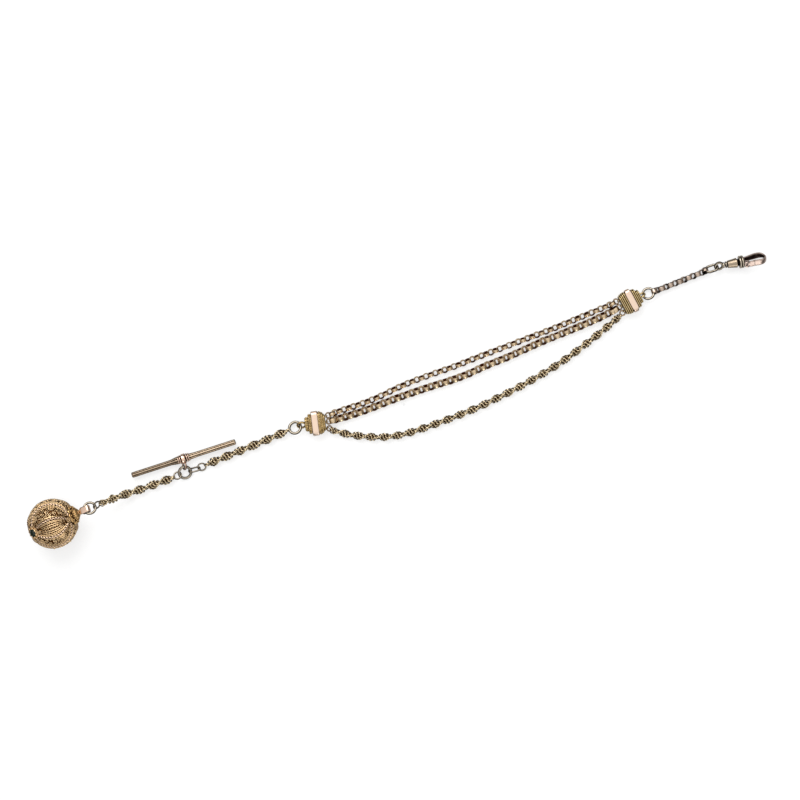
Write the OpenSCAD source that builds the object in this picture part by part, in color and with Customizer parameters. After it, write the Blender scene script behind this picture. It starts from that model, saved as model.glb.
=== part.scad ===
/* [Ball fob] */
// Diameter of the hollow ball
ball_d = 16.6; // [15:0.1:18]
// Wall of the hollow ball
ball_wall = 0.7; // [0.5:0.1:1.2]
// Diameter of the stone at the pole of the ball
stone_d = 2.3; // [1.8:0.1:2.6]
// Length of the strap bail
bail_len = 3.4; // [3.2:0.1:3.8]
// Width of the strap bail where the ring hangs
bail_w = 2.6; // [2:0.1:3]

/* [T-bar] */
// Length of the bar for the buttonhole
bar_len = 36.3; // [30:0.1:40]
// Diameter of the bar
bar_d = 1.84; // [1.6:0.02:2.2]
// Diameter of the saddle at the middle of the bar
saddle_d = 3.4; // [3:0.1:3.8]

/* [Chains] */
// Diameter of the rope chain of the two upper stretches
rope_d = 2.5; // [2.2:0.1:2.8]
// Diameter of the rope chain that hangs in a curve
swag_d = 2.3; // [2:0.1:2.6]
// Diameter of the narrow belcher strand
narrow_d = 2.1; // [1.8:0.1:2.4]
// Diameter of the broad belcher strand
broad_d = 2.3; // [2:0.1:2.5]
// Diameter of the short belcher stretch at the clip
short_d = 2.0; // [1.8:0.1:2.3]

/* [Rings] */
// Mean diameter of the jump rings that carry the slides and the T-bar
jump_d = 4.04; // [3.9:0.02:4.2]
// Wire of those jump rings
jump_wire = 0.66; // [0.5:0.02:0.7]
// Mean diameter of the small rings at the ends of the ropes
small_d = 2.6; // [2.5:0.05:2.7]
// Wire of the small rings
small_wire = 0.4; // [0.3:0.02:0.44]

/* [Slides] */
// Length of a slide's plate across the chain
plate_h = 8.2; // [7.6:0.1:8.6]
// Width of the plate along the chain
plate_w = 2.2; // [2:0.1:2.3]
// Thickness of the plate from back to front
plate_t = 4.4; // [4:0.1:4.4]
// Distance between the three eyes for the strands
eye_pitch = 2; // [1.9:0.05:2.3]

/* [Clip] */
// Diameter of the cone at its wide end
cone_d = 3.34; // [3:0.02:3.6]
// Length of the cone
cone_len = 3.1; // [2.8:0.1:3.3]
// Diameter of the collar
collar_d = 4.3; // [4:0.1:4.6]
// Height of the hook's loop, outside
hook_h = 4.6; // [4.4:0.1:5]
// Width of the hook's band
hook_w = 2.2; // [2:0.1:2.4]
// Thickness of the hook's band
hook_t = 0.65; // [0.5:0.05:0.7]

/* [Hidden] */

// Facets of the ball, the hook's bend, the other round pieces, bent wire and the chains' tubes
BALL = 96;
BEND = 64;
ROUND = 48;
WIRE = 24;
SIDES = 8;

gap = 0.05;         // between pieces that fit into each other
big = 20;           // longer than anything that it cuts

// Colours of the metals and the stone
YELLOW = "#C8A468";
ROSE = "#D9AE8E";
PEACH = "#EAD2BC";
OLD_GOLD = "#B8A47C";
GREY_GOLD = "#A09080";
PINK = "#C8A898";
STONE = "#1E2A22";

// Ball: it stands on the surface, with its neck towards the chain
ball_r = ball_d / 2;
ball_at = [-122.1, 2.7, ball_r];
neck_turn = 3;      // about Z, from +X
neck_rise = 12.5;   // above the level
pole_turn = 187;
pole_rise = 47;

// Collet and stone, measured from the ball's surface
setting_r = stone_d / 2 + 0.35;
bezel_h = 0.6;
flange_r = setting_r + 0.2;
flange_t = 0.25;
shank_r = setting_r - 0.1;
shank_in = 1.1;
shank_out = 0.5;
pocket_in = 0.2;
drill_r = 0.5;
culet_r = 0.6;
pavilion_h = 0.5;
girdle_h = 0.2;
crown_h = 0.4;
table_r = 0.7;

// Cap: a scalloped foot on the ball, a dome and an eye, measured from the ball's centre
foot_r = 3.3;
foot_t = 0.5;
dome_r = 2.05;
dome_z = ball_r;
eye_ring_r = 0.75;
eye_wire_r = 0.25;
eye_z = dome_z + dome_r + 0.4;
bail_roll = 65;     // the strap's axis turned about the neck
bail_t = 0.35;
bail_z = eye_z - 0.15;
bail_end_w = 0.8;   // width in the eye
bail_half_h = 1.1;
bail_taper = [0.6, 1]; // plain length before and after the taper

// Rings through the strap and at the right slide, mean radius and wire radius
ball_ring_r = 1.95;
ball_ring_wire_r = 0.3;
right_ring_r = 1.85;
right_ring_wire_r = 0.27;

jump_r = jump_d / 2;
jump_wire_r = jump_wire / 2;
small_r = small_d / 2;
small_wire_r = small_wire / 2;

// Oval link beside the T-bar's ring: half length and half width along the wire's middle
oval_half = [1.9, 0.85];

// T-bar
bar_r = bar_d / 2;
bar_at = [-75.1, 8.2, saddle_d / 2];
bar_turn = -2;
saddle_w = 1.8;
rim_d = 2.8;
rim_w = 0.5;
rim_step = 0.2;
loop_turn = -104.3; // the loop points at its ring
loop_lean = 52;     // and leans about its own length
loop_half_w = 0.8;
loop_leg = 2.75;
loop_wire_r = 0.25;

// Slides: the middle, the turn about Z, and the loop for the ring [centre, mean radius]
slide_z = plate_t / 2;
left_at = [-29.9, 4.2, slide_z];
left_turn = -13;
left_loop = [-4.55, 1.15];
right_at = [82.9, 6.6, slide_z];
right_turn = 188;
right_loop = [-4.1, 0.9];
slide_loop_wire_r = 0.28;
slide_loop_lean = 50;

// A slide's steps along the chain: [from, to, height, thickness]
SLIDE_STEPS = [
    [-3.4, -2.2, 4.4, 3.0],
    [-2.25, -1.15, 6.2, 3.8],
    [-1.2, 1.2, 5.4, 2.6],
    [1.15, 2.6, 7.2, 4.0],
    [2.55, 3.4, 7.4, 4.2]
];
core = SLIDE_STEPS[2];
strand_eye_r = 0.6;
strand_eye_wire_r = 0.17;
strand_eye_x = 3.65;

// Rings between the slides and the strands, mean radius and wire radius
strand_link_r = 0.85;
strand_link_wire_r = 0.18;

// Open link at the clip
open_half = [1.95, 1.2];
open_wire_r = 0.25;

// Clip: its axis starts at the narrow end of the cone
clip_at = [117, 7, 2.5];
clip_turn = -9.5;
hook_roll = 52;     // leans the loop, with its far arm down and away
eye_roll = 35;
clip_eye_x = -2.85;
clip_eye_r = 1.25;
clip_eye_wire_r = 0.3;
pin_r = 0.45;
pin_bore_r = pin_r + gap;
pin_head_r = 0.8;
pin_head = [0.75, 1.25];
eye_discs = [[-1.5, 1], [-0.7, 1.15]]; // where each starts, and its radius
disc_t = 0.4;
cone_wall = 0.6;
cone_small_r = 1.23;
chamber_r = 0.92;
chamber_end = 2.5;
neck_end = cone_len + 0.7;
neck_r = 1.15;
spigot_r = 0.8;
spigot_out = 0.7;
collar_end = neck_end + 1.7;
collar_side = 0.35; // rounded edge of the collar

// Hook: a band bent in the plane of X and Y, as wide along Z as its width says
hook_start = collar_end + gap;
hook_tip = hook_start + 7.55;
hook_mid = hook_tip - hook_h / 2;
hook_nose = hook_start + 3.15;
hook_base = 0.4;
hook_base_low = -1.2;
hook_spigot = 0.8;
hinge_at = [hook_start + 1, -1.8];
knuckle_r = 0.5;
knuckle_w = 1;
ear_gap = 0.12;
hinge_pin_r = 0.28;
hinge_bore_r = hinge_pin_r + gap;
gate_t = 0.5;
gate_gap = 0.1;
gate_tongue = 0.6;
gate_tongue_t = 0.4;
gate_tongue_side = 0.3; // narrower than the band on each side
ear_w = (hook_w - knuckle_w) / 2 - ear_gap;
ear_lap = 0.2;      // of the ears and the hook's base

// Routes of the chains along their middle
ROPE_LOWER = [
    [-104.8, 3.5, 8.6], [-103, 3.6, 6.7], [-100, 3.7, 4.5], [-96, 3.6, 2.6],
    [-91, 3.4, 1.5], [-86, 3.4, 1.2], [-80.8, 3.4, 1.2]
];
ROPE_UPPER = [
    [-68.5, 3.6, 1.2], [-64, 3.9, 1.2], [-58, 4.1, 1.2], [-51, 4.4, 1.2],
    [-45, 4.7, 1.2], [-39.5, 5.1, 1.3]
];
BELCHER_TOP = [
    [-23.4, 5.4, 1.5], [-19, 5.3, 1.1], [-13, 5.1, 1.1], [-7, 5.3, 1.1], [0, 6, 1.1],
    [6, 6.3, 1.1], [13, 6.3, 1.1], [20, 6.2, 1.1], [27, 6.4, 1.1], [34, 6.5, 1.1],
    [41, 6.6, 1.1], [48, 6.7, 1.1], [55, 6.8, 1.1], [62, 7.1, 1.1], [69, 7.4, 1.1],
    [76.6, 7.8, 1.5]
];
BELCHER_MIDDLE = [
    [-23.9, 3.2, 1.5], [-19, 2.8, 1.2], [-13, 2.6, 1.2], [-7, 2.7, 1.2], [0, 2.8, 1.2],
    [6, 2.7, 1.2], [12, 2.5, 1.2], [18, 2.2, 1.2], [24, 2.3, 1.2], [30, 2.8, 1.2],
    [37, 3, 1.2], [44, 3.5, 1.2], [51, 4, 1.2], [58, 4.2, 1.2], [65, 4.5, 1.2],
    [71, 4.9, 1.2], [76.8, 5.6, 1.5]
];
ROPE_SWAG = [
    [-25.1, -0.4, 1.5], [-21, -2.9, 1.2], [-16, -5.5, 1.2], [-10, -7.9, 1.2], [-4, -9.2, 1.2],
    [2, -9.6, 1.2], [9, -9.7, 1.2], [16, -9.6, 1.2], [23, -9.3, 1.2], [30, -8.6, 1.2],
    [37, -7.8, 1.2], [44, -6.7, 1.2], [51, -5.4, 1.2], [58, -3.6, 1.2], [65, -1.4, 1.2],
    [71, 0.6, 1.2], [77.4, 3, 1.5]
];
BELCHER_END = [
    [91.5, 6.9, 1.3], [97, 7, 1.1], [103, 7.2, 1.1], [109.2, 7.4, 1.3]
];

// A chain's tube: rings of points square to the route, joined by triangles
function unit(v) = v / norm(v);
function along(route, i) = unit(route[min(i + 1, len(route) - 1)] - route[max(i - 1, 0)]);
function section(route, i, r) =
    let (ahead = along(route, i), side = unit(cross([0, 0, 1], ahead)), up = cross(ahead, side))
    [for (k = [0:SIDES - 1])
        let (a = 360 * (k + 0.5) / SIDES)
        route[i] + r * (cos(a) * side + sin(a) * up)];
function strip(i) = [
    for (k = [0:SIDES - 1])
        let (a = i * SIDES + k, b = i * SIDES + (k + 1) % SIDES)
        each [[a, a + SIDES, b], [b, a + SIDES, b + SIDES]]
];

module chain_tube(route, d) {
    last = len(route) - 1;
    polyhedron(
        points = [for (i = [0:last]) each section(route, i, d / 2)],
        faces = concat(
            [for (i = [0:last - 1]) each strip(i)],
            [for (k = [1:SIDES - 2]) [0, k, k + 1]],
            [for (k = [1:SIDES - 2]) [last * SIDES, last * SIDES + k + 1, last * SIDES + k]]
        ),
        convexity = 6
    );
}

// Round wire bent into a ring, flat in X and Y
module wire_ring(mean_r, wire_r) {
    rotate_extrude($fn = ROUND)
        translate([mean_r, 0]) circle(r = wire_r, $fn = WIRE);
}

// Half a ring of wire, on the side of +X
module wire_bow(mean_r, wire_r) {
    rotate([0, 0, -90])
        rotate_extrude(angle = 180, $fn = ROUND)
            translate([mean_r, 0]) circle(r = wire_r, $fn = WIRE);
}

// Long link with straight sides; half holds half its length and half its width
module wire_oval(half, wire_r) {
    straight = half.x - half.y;
    for (end = [0, 1]) mirror([end, 0, 0]) translate([straight, 0, 0]) wire_bow(half.y, wire_r);
    for (side = [-1, 1])
        translate([-straight, side * half.y, 0])
            rotate([0, 90, 0]) cylinder(h = 2 * straight, r = wire_r, $fn = WIRE);
}

// Frame with Z along a direction from the ball's centre
module from_ball(rise, turn) {
    translate(ball_at) rotate([0, 90 - rise, turn]) children();
}

module ball_shell() {
    color(YELLOW)
    difference() {
        translate(ball_at) sphere(r = ball_r, $fn = BALL);
        translate(ball_at) sphere(r = ball_r - ball_wall, $fn = BALL);
        from_ball(pole_rise, pole_turn)
            translate([0, 0, ball_r / 2]) cylinder(h = ball_r, r = shank_r + gap, $fn = ROUND);
    }
}

// Collet that holds the stone: a shank in the ball's hole, a flange and a bezel
module ball_setting() {
    color(GREY_GOLD)
    from_ball(pole_rise, pole_turn)
    difference() {
        union() {
            translate([0, 0, ball_r - shank_in])
                cylinder(h = shank_in + shank_out, r = shank_r, $fn = ROUND);
            translate([0, 0, ball_r + gap]) cylinder(h = flange_t, r = flange_r, $fn = ROUND);
            translate([0, 0, ball_r + gap]) cylinder(h = bezel_h, r = setting_r, $fn = ROUND);
        }
        translate([0, 0, ball_r - pocket_in]) cylinder(h = big, r = stone_d / 2 + gap, $fn = ROUND);
        cylinder(h = big, r = drill_r, $fn = ROUND);
    }
}

module ball_stone() {
    girdle = stone_d / 2;
    color(STONE)
    from_ball(pole_rise, pole_turn)
    translate([0, 0, ball_r - pocket_in + gap]) {
        cylinder(h = pavilion_h, r1 = culet_r, r2 = girdle, $fn = ROUND);
        translate([0, 0, pavilion_h]) cylinder(h = girdle_h, r = girdle, $fn = ROUND);
        translate([0, 0, pavilion_h + girdle_h])
            cylinder(h = crown_h, r1 = girdle, r2 = table_r, $fn = ROUND);
    }
}

// Foot that follows the ball, dome and the eye for the strap, soldered into one
module ball_cap() {
    color(YELLOW)
    from_ball(neck_rise, neck_turn) {
        difference() {
            union() {
                intersection() {
                    sphere(r = ball_r + foot_t, $fn = BALL);
                    cylinder(h = big, r = foot_r, $fn = ROUND);
                }
                translate([0, 0, dome_z]) sphere(r = dome_r, $fn = ROUND);
            }
            sphere(r = ball_r + gap, $fn = BALL);
        }
        translate([0, 0, eye_z])
            rotate([90, 0, bail_roll]) wire_ring(eye_ring_r, eye_wire_r);
    }
}

// Strap bent into a closed loop, narrow in the eye and broad at the ring
module ball_bail() {
    color(ROSE)
    from_ball(neck_rise, neck_turn)
    rotate([0, 0, bail_roll])
    translate([0, 0, bail_z])
    intersection() {
        rotate([90, 0, 90]) linear_extrude(height = bail_w, center = true)
            difference() {
                strap_outline(bail_half_h, 0);
                strap_outline(bail_half_h, bail_t);
            }
        rotate([90, 0, 0]) linear_extrude(height = big, center = true)
            strap_front();
    }
}

// Front view of the strap, with a little beyond each end
module strap_front() {
    side = [
        [bail_end_w / 2, -gap], [bail_end_w / 2, bail_taper[0]],
        [bail_w / 2, bail_len - bail_taper[1]], [bail_w / 2, bail_len + gap]
    ];
    polygon(concat(side, [for (k = [3:-1:0]) [-side[k].x, side[k].y]]));
}

// Side view of the strap, drawn in by inset
module strap_outline(half_h, inset) {
    translate([0, half_h]) circle(r = half_h - inset, $fn = ROUND);
    translate([0, bail_len - half_h]) circle(r = half_h - inset, $fn = ROUND);
    translate([inset - half_h, half_h]) square([2 * (half_h - inset), bail_len - 2 * half_h]);
}

module ball_ring() {
    color(GREY_GOLD) translate([-108.5, 3.35, 10.9]) rotate([-23, 7, -6])
        wire_ring(ball_ring_r, ball_ring_wire_r);
}

// Small ring at the end of a rope: its middle and how it leans
module small_ring(at, lean) {
    color(GREY_GOLD) translate(at) rotate(lean) wire_ring(small_r, small_wire_r);
}

module rope_ring_1() { small_ring([-106.1, 3.5, 10.05], [39, 44, -2]); }
module rope_ring_2() { small_ring([-79, 3.55, 1.35], [-30, -1, 1]); }
module rope_ring_3() { small_ring([-70.45, 3.5, 1.05], [27, 1, -4]); }

module rope_lower() { color(OLD_GOLD) chain_tube(ROPE_LOWER, rope_d); }
module rope_upper() { color(OLD_GOLD) chain_tube(ROPE_UPPER, rope_d); }
module rope_swag() { color(OLD_GOLD) chain_tube(ROPE_SWAG, swag_d); }
module belcher_top() { color(ROSE) chain_tube(BELCHER_TOP, narrow_d); }
module belcher_middle() { color(ROSE) chain_tube(BELCHER_MIDDLE, broad_d); }
module belcher_end() { color(ROSE) chain_tube(BELCHER_END, short_d); }

// Jump ring that carries the T-bar or a slide
module jump_ring(at, lean) {
    color(GREY_GOLD) translate(at) rotate(lean) wire_ring(jump_r, jump_wire_r);
}

module tbar_ring() { jump_ring([-76.35, 3.7, 1.2], [17, 6, -1]); }
module slide_ring_left() { jump_ring([-36.75, 5.15, 1.85], [-21, -8, -6]); }

module slide_ring_right() {
    color(GREY_GOLD) translate([89.1, 6.9, 1.5]) rotate([-22, -8, 8])
        wire_ring(right_ring_r, right_ring_wire_r);
}

// Bar with round ends, two stepped rims, the saddle and its loop, soldered into one
module tbar() {
    straight = bar_len - bar_d;
    color(ROSE)
    translate(bar_at) {
        rotate([0, 90, bar_turn]) {
            cylinder(h = straight, r = bar_r, center = true, $fn = ROUND);
            for (end = [-1, 1]) translate([0, 0, end * straight / 2]) sphere(r = bar_r, $fn = ROUND);
            cylinder(h = saddle_w, d = saddle_d, center = true, $fn = ROUND);
            cylinder(h = saddle_w + 2 * rim_w, d = rim_d, center = true, $fn = ROUND);
            cylinder(h = saddle_w + 4 * rim_w, d = rim_d - 2 * rim_step, center = true, $fn = ROUND);
        }
        rotate([0, 0, loop_turn]) rotate([loop_lean, 0, 0]) {
            translate([loop_leg, 0, 0]) wire_bow(loop_half_w, loop_wire_r);
            for (side = [-1, 1])
                translate([0, side * loop_half_w, 0])
                    rotate([0, 90, 0]) cylinder(h = loop_leg, r = loop_wire_r, $fn = WIRE);
        }
    }
}

module oval_link() {
    color(GREY_GOLD) translate([-73.1, 3.5, 1]) rotate([-43, -1, -5])
        wire_oval(oval_half, small_wire_r);
}

// Outline of a slide's step, round at both ends, extruded along the chain
module slide_step(from, to, h, t) {
    translate([from, 0, 0]) rotate([90, 0, 90]) linear_extrude(height = to - from) step_outline(h, t);
}

module step_outline(h, t) {
    square([h - t, t], center = true);
    for (side = [-1, 1]) translate([side * (h - t) / 2, 0]) circle(d = t, $fn = ROUND);
}

// Slide: stepped body, loop for the ring on one side and three eyes for the strands
module slide_body(at, turn, loop) {
    translate(at) rotate([0, 0, turn]) {
        for (step = SLIDE_STEPS) slide_step(step[0], step[1], step[2], step[3]);
        translate([loop[0], 0, 0]) rotate([slide_loop_lean, 0, 0])
            wire_ring(loop[1], slide_loop_wire_r);
        for (k = [-1, 0, 1])
            translate([strand_eye_x, k * eye_pitch, 0])
                rotate([90, 0, 0]) wire_ring(strand_eye_r, strand_eye_wire_r);
    }
}

// Plate: a closed band round the slide's core, between its shoulders
module slide_plate(at, turn) {
    color(PEACH)
    translate(at) rotate([0, 0, turn])
    difference() {
        slide_step(-plate_w / 2, plate_w / 2, plate_h, plate_t);
        slide_step(-plate_w, plate_w, core[2] + 2 * gap, core[3] + 2 * gap);
    }
}

module slide_left() { color(YELLOW) slide_body(left_at, left_turn, left_loop); }
module slide_left_plate() { slide_plate(left_at, left_turn); }
module slide_right() { color(YELLOW) slide_body(right_at, right_turn, right_loop); }
module slide_right_plate() { slide_plate(right_at, right_turn); }

// Ring between a slide's eye and a strand
module strand_link(at, lean) {
    color(ROSE) translate(at) rotate(lean) wire_ring(strand_link_r, strand_link_wire_r);
}

module left_link_top() { strand_link([-24.95, 5.25, 1.95], [14, 12, 2]); }
module left_link_middle() { strand_link([-25.4, 3.25, 2], [16, 11, -3]); }
module left_link_swag() { strand_link([-26.05, 1, 1.9], [-2, 28, -27]); }
module right_link_top() { strand_link([78.05, 8.05, 2], [12, -18, 1]); }
module right_link_middle() { strand_link([78.35, 5.9, 1.95], [21, -11, 1]); }
module right_link_swag() { strand_link([78.75, 3.75, 2.1], [15, -12, 30]); }

module open_link() {
    color(GREY_GOLD) translate([111.75, 7.5, 2.15]) rotate([-34, -4, -2])
        wire_oval(open_half, open_wire_r);
}

// Frame with X along the clip
module at_clip() {
    translate(clip_at) rotate([0, 0, clip_turn]) children();
}

// Disc or shaft along the clip's axis
module turned(from, to, r) {
    translate([from, 0, 0]) rotate([0, 90, 0]) cylinder(h = to - from, r = r, $fn = ROUND);
}

// Eye with two discs and a headed pin that turns in the cone
module swivel_eye() {
    color(GREY_GOLD)
    at_clip() {
        translate([clip_eye_x, 0, 0]) rotate([eye_roll, 0, 0]) wire_ring(clip_eye_r, clip_eye_wire_r);
        turned(clip_eye_x + clip_eye_r, pin_head[1], pin_r);
        for (disc = eye_discs) turned(disc[0], disc[0] + disc_t, disc[1]);
        turned(pin_head[0], pin_head[1], pin_head_r);
    }
}

// Cone with the pin's chamber, a neck and a spigot for the collar
module clip_barrel() {
    color(OLD_GOLD)
    at_clip()
    difference() {
        union() {
            rotate([0, 90, 0]) cylinder(h = cone_len, r1 = cone_small_r, r2 = cone_d / 2, $fn = ROUND);
            turned(cone_len - gap, neck_end, neck_r);
            turned(neck_end - gap, neck_end + spigot_out, spigot_r);
        }
        turned(-gap, cone_wall + gap, pin_bore_r);
        turned(cone_wall, chamber_end, chamber_r);
    }
}

module clip_collar() {
    color(GREY_GOLD)
    at_clip()
    rotate([0, 90, 0]) rotate_extrude($fn = ROUND)
        polygon([
            [spigot_r + gap, neck_end + gap], [collar_d / 2 - collar_side, neck_end + gap],
            [collar_d / 2, neck_end + gap + collar_side], [collar_d / 2, collar_end - collar_side],
            [collar_d / 2 - collar_side, collar_end], [spigot_r + gap, collar_end]
        ]);
}

// Frame of the hook's loop: X along the clip, Y along the loop's height, Z along the band's width
module at_hook() {
    at_clip() rotate([-hook_roll, 0, 0]) children();
}

// Side view of the hook's outline, drawn in by inset
module hook_outline(inset) {
    half = hook_h / 2 - inset;
    translate([hook_mid, 0]) circle(r = half, $fn = BEND);
    from = hook_start + hook_base + inset;
    translate([from, -half]) square([hook_mid - from, 2 * half]);
}

// Band bent into a hook, its base with a spigot, two ears and the hinge pin
module clip_hook() {
    color(PINK)
    at_hook() {
        linear_extrude(height = hook_w, center = true)
        difference() {
            union() {
                hook_outline(0);
                translate([hook_start, hook_base_low])
                    square([hook_base + gap, hook_h / 2 - hook_base_low]);
            }
            hook_outline(hook_t);
            translate([hook_start - gap, -hook_h])
                square([hook_nose - hook_start + gap, hook_h + hook_base_low]);
        }
        turned(hook_start - hook_spigot, hook_start + gap, spigot_r);
        for (side = [-1, 1])
            translate([0, 0, side * (hook_w - ear_w) / 2])
                linear_extrude(height = ear_w, center = true) {
                    translate(hinge_at) circle(r = knuckle_r, $fn = ROUND);
                    translate([hook_start, hinge_at.y - knuckle_r])
                        square([hinge_at.x - hook_start, hook_base_low - hinge_at.y + knuckle_r + ear_lap]);
                }
        translate([hinge_at.x, hinge_at.y, 0])
            cylinder(h = hook_w, r = hinge_pin_r, center = true, $fn = ROUND);
    }
}

// Straight piece of the gate between two corners in the hook's plane, w wide
module bar_piece(from, to, w) {
    translate([from.x, from.y, -w / 2]) cube([to.x - from.x, to.y - from.y, w]);
}

// Gate: a knuckle on the pin, an arm and a tongue that closes behind the nose
module clip_gate() {
    arm_low = -hook_h / 2;
    arm_from = hinge_at.x + knuckle_r + gate_gap;
    arm_to = hook_nose - gate_gap;
    tongue_low = arm_low + hook_t + gate_gap;
    tongue_high = tongue_low + gate_tongue_t;
    tongue_w = hook_w - 2 * gate_tongue_side;
    color(PINK)
    at_hook()
    difference() {
        union() {
            translate([hinge_at.x, hinge_at.y, 0])
                cylinder(h = knuckle_w, r = knuckle_r, center = true, $fn = ROUND);
            bar_piece([hinge_at.x, arm_low], [arm_from + gap, arm_low + gate_t], knuckle_w);
            bar_piece([arm_from, arm_low], [arm_to, arm_low + gate_t], hook_w);
            bar_piece([arm_to - gate_t, arm_low], [arm_to, tongue_high], hook_w);
            bar_piece([arm_to - gate_t, tongue_low], [hook_nose + gate_tongue, tongue_high], tongue_w);
        }
        translate([hinge_at.x, hinge_at.y, 0])
            cylinder(h = big, r = hinge_bore_r, center = true, $fn = ROUND);
    }
}

ball_shell();
ball_setting();
ball_stone();
ball_cap();
ball_bail();
ball_ring();
rope_ring_1();
rope_lower();
rope_ring_2();
tbar_ring();
tbar();
oval_link();
rope_ring_3();
rope_upper();
slide_ring_left();
slide_left();
slide_left_plate();
left_link_top();
left_link_middle();
left_link_swag();
belcher_top();
belcher_middle();
rope_swag();
right_link_top();
right_link_middle();
right_link_swag();
slide_right();
slide_right_plate();
slide_ring_right();
belcher_end();
open_link();
swivel_eye();
clip_barrel();
clip_collar();
clip_hook();
clip_gate();
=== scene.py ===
"""Watch chain laid out flat: ball fob, T-bar, ropes, belcher strands, two slides and a swivel clip."""

import logging
import math
from collections.abc import Iterable, Sequence
from dataclasses import dataclass, field
from enum import Enum
from typing import NamedTuple

import bpy
import mathutils
import numpy as np
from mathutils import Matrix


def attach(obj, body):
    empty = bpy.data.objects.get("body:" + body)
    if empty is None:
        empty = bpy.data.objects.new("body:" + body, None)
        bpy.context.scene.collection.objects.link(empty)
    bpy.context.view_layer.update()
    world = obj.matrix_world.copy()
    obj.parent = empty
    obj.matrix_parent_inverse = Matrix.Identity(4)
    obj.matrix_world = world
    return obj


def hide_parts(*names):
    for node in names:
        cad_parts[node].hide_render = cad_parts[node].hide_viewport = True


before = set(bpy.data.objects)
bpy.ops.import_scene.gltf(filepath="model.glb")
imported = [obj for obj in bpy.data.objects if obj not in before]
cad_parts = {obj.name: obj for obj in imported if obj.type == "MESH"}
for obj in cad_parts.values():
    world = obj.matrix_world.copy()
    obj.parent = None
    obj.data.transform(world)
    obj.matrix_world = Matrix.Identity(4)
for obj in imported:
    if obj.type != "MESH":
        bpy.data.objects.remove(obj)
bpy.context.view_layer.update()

log = logging.getLogger("watch_chain")

MM = 0.001
ALMOST_WHOLE_TURN = 359.99  # just short of a whole turn, so that circle_path leaves the path open
DEPTH = "recess_depth"  # the attribute that tells a finish how dark to paint each point: painted shade on flanks, in recesses and under parts, with dirt

# Sizes and places are in millimetres and angles in degrees, unless a comment says otherwise
Points = np.ndarray  # n x 3 places or directions
Faces = np.ndarray  # k x 4 corner numbers; a triangle's last one is -1
Vector = tuple[float, float, float]


class Body(Enum):
    """The three bodies that the pieces ride on."""

    CHAIN = "chain"
    HOOK = "hook"
    GATE = "gate"


def unit(vectors: Points) -> Points:
    """Scales vectors to length 1."""
    return vectors / np.maximum(np.linalg.norm(vectors, axis=-1, keepdims=True), 1e-12)


def turned(x: float = 0.0, y: float = 0.0, z: float = 0.0) -> np.ndarray:
    """Rotation about X, then Y, then Z.

    Args:
        x: Angle about X.
        y: Angle about Y.
        z: Angle about Z.

    Returns:
        The 3 x 3 rotation matrix.
    """
    a, b, c = math.radians(x), math.radians(y), math.radians(z)
    about_x = np.array([[1, 0, 0], [0, math.cos(a), -math.sin(a)], [0, math.sin(a), math.cos(a)]])
    about_y = np.array([[math.cos(b), 0, math.sin(b)], [0, 1, 0], [-math.sin(b), 0, math.cos(b)]])
    about_z = np.array([[math.cos(c), -math.sin(c), 0], [math.sin(c), math.cos(c), 0], [0, 0, 1]])
    return about_z @ about_y @ about_x


@dataclass(frozen=True)
class Place:
    """Where a part sits and how it is turned, in the row frame."""

    at: Vector = (0.0, 0.0, 0.0)
    turn: np.ndarray = field(default_factory=lambda: np.eye(3))

    def put(self, points: Points) -> Points:
        """Moves points from the part's own frame to this place."""
        return points @ self.turn.T + np.asarray(self.at, float)

    def inner(self, other: "Place") -> "Place":
        """A place given within this one, in the row frame."""
        return Place(tuple(self.put(np.asarray(other.at, float))), self.turn @ other.turn)

    @staticmethod
    def of_axes(at: Points, x: Points, z: Points) -> "Place":
        """A place from its X and Z directions, which are at right angles."""
        x, z = unit(np.asarray(x, float)), unit(np.asarray(z, float))
        return Place(tuple(at), np.column_stack([x, np.cross(z, x), z]))


UPRIGHT = Place(turn=turned(y=-90))  # turns a part's X to Z


def places_round(radius: float, height: float, count: int, turning: bool = False) -> list[Place]:
    """Places evenly round Z.

    Args:
        radius: Distance from Z.
        height: Place along Z.
        count: Number of places.
        turning: Whether each place is turned to face outwards.

    Returns:
        The places, from X onwards.
    """
    angles = 2 * math.pi * np.arange(count) / count
    return [Place((radius * math.cos(a), radius * math.sin(a), height),
                  turned(z=math.degrees(a)) if turning else np.eye(3)) for a in angles]


class Shape(NamedTuple):
    """Points and faces of a mesh part."""

    points: Points
    faces: Faces

    def at(self, place: Place) -> "Shape":
        """The part at a place."""
        return Shape(place.put(self.points), self.faces)

    def raised(self, height: float) -> "Shape":
        """The part lifted along Z."""
        return self.at(Place((0, 0, height)))

    def off_axis(self) -> np.ndarray:
        """Distance of each point from X."""
        return np.hypot(self.points[:, 1], self.points[:, 2])


def rows_of_quads(rows: int, columns: int, closed_rows: bool) -> Faces:
    """Faces of rows of points, each row a closed ring, that are stored one after the other.

    Args:
        rows: Number of rows.
        columns: Points in each row.
        closed_rows: Whether the last row joins the first.

    Returns:
        The quads.
    """
    r = np.arange(rows if closed_rows else rows - 1)[:, None]
    c = np.arange(columns)[None, :]
    below, beside = (r + 1) % rows, (c + 1) % columns
    corners = [r * columns + c, r * columns + beside, below * columns + beside, below * columns + c]
    return np.stack([np.broadcast_to(k, (r.size, c.size)).ravel() for k in corners], axis=1)


def fan(start: int, count: int, centre: int, outward: bool) -> Faces:
    """Triangles from a ring of points to a centre point.

    Args:
        start: Number of the ring's first point.
        count: Points in the ring.
        centre: Number of the centre point.
        outward: Whether the triangles go round as the ring does.

    Returns:
        The triangles.
    """
    a = start + np.arange(count)
    b = start + (np.arange(count) + 1) % count
    first, second = (a, b) if outward else (b, a)
    return np.stack([first, second, np.full(count, centre), np.full(count, -1)], axis=1)


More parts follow.
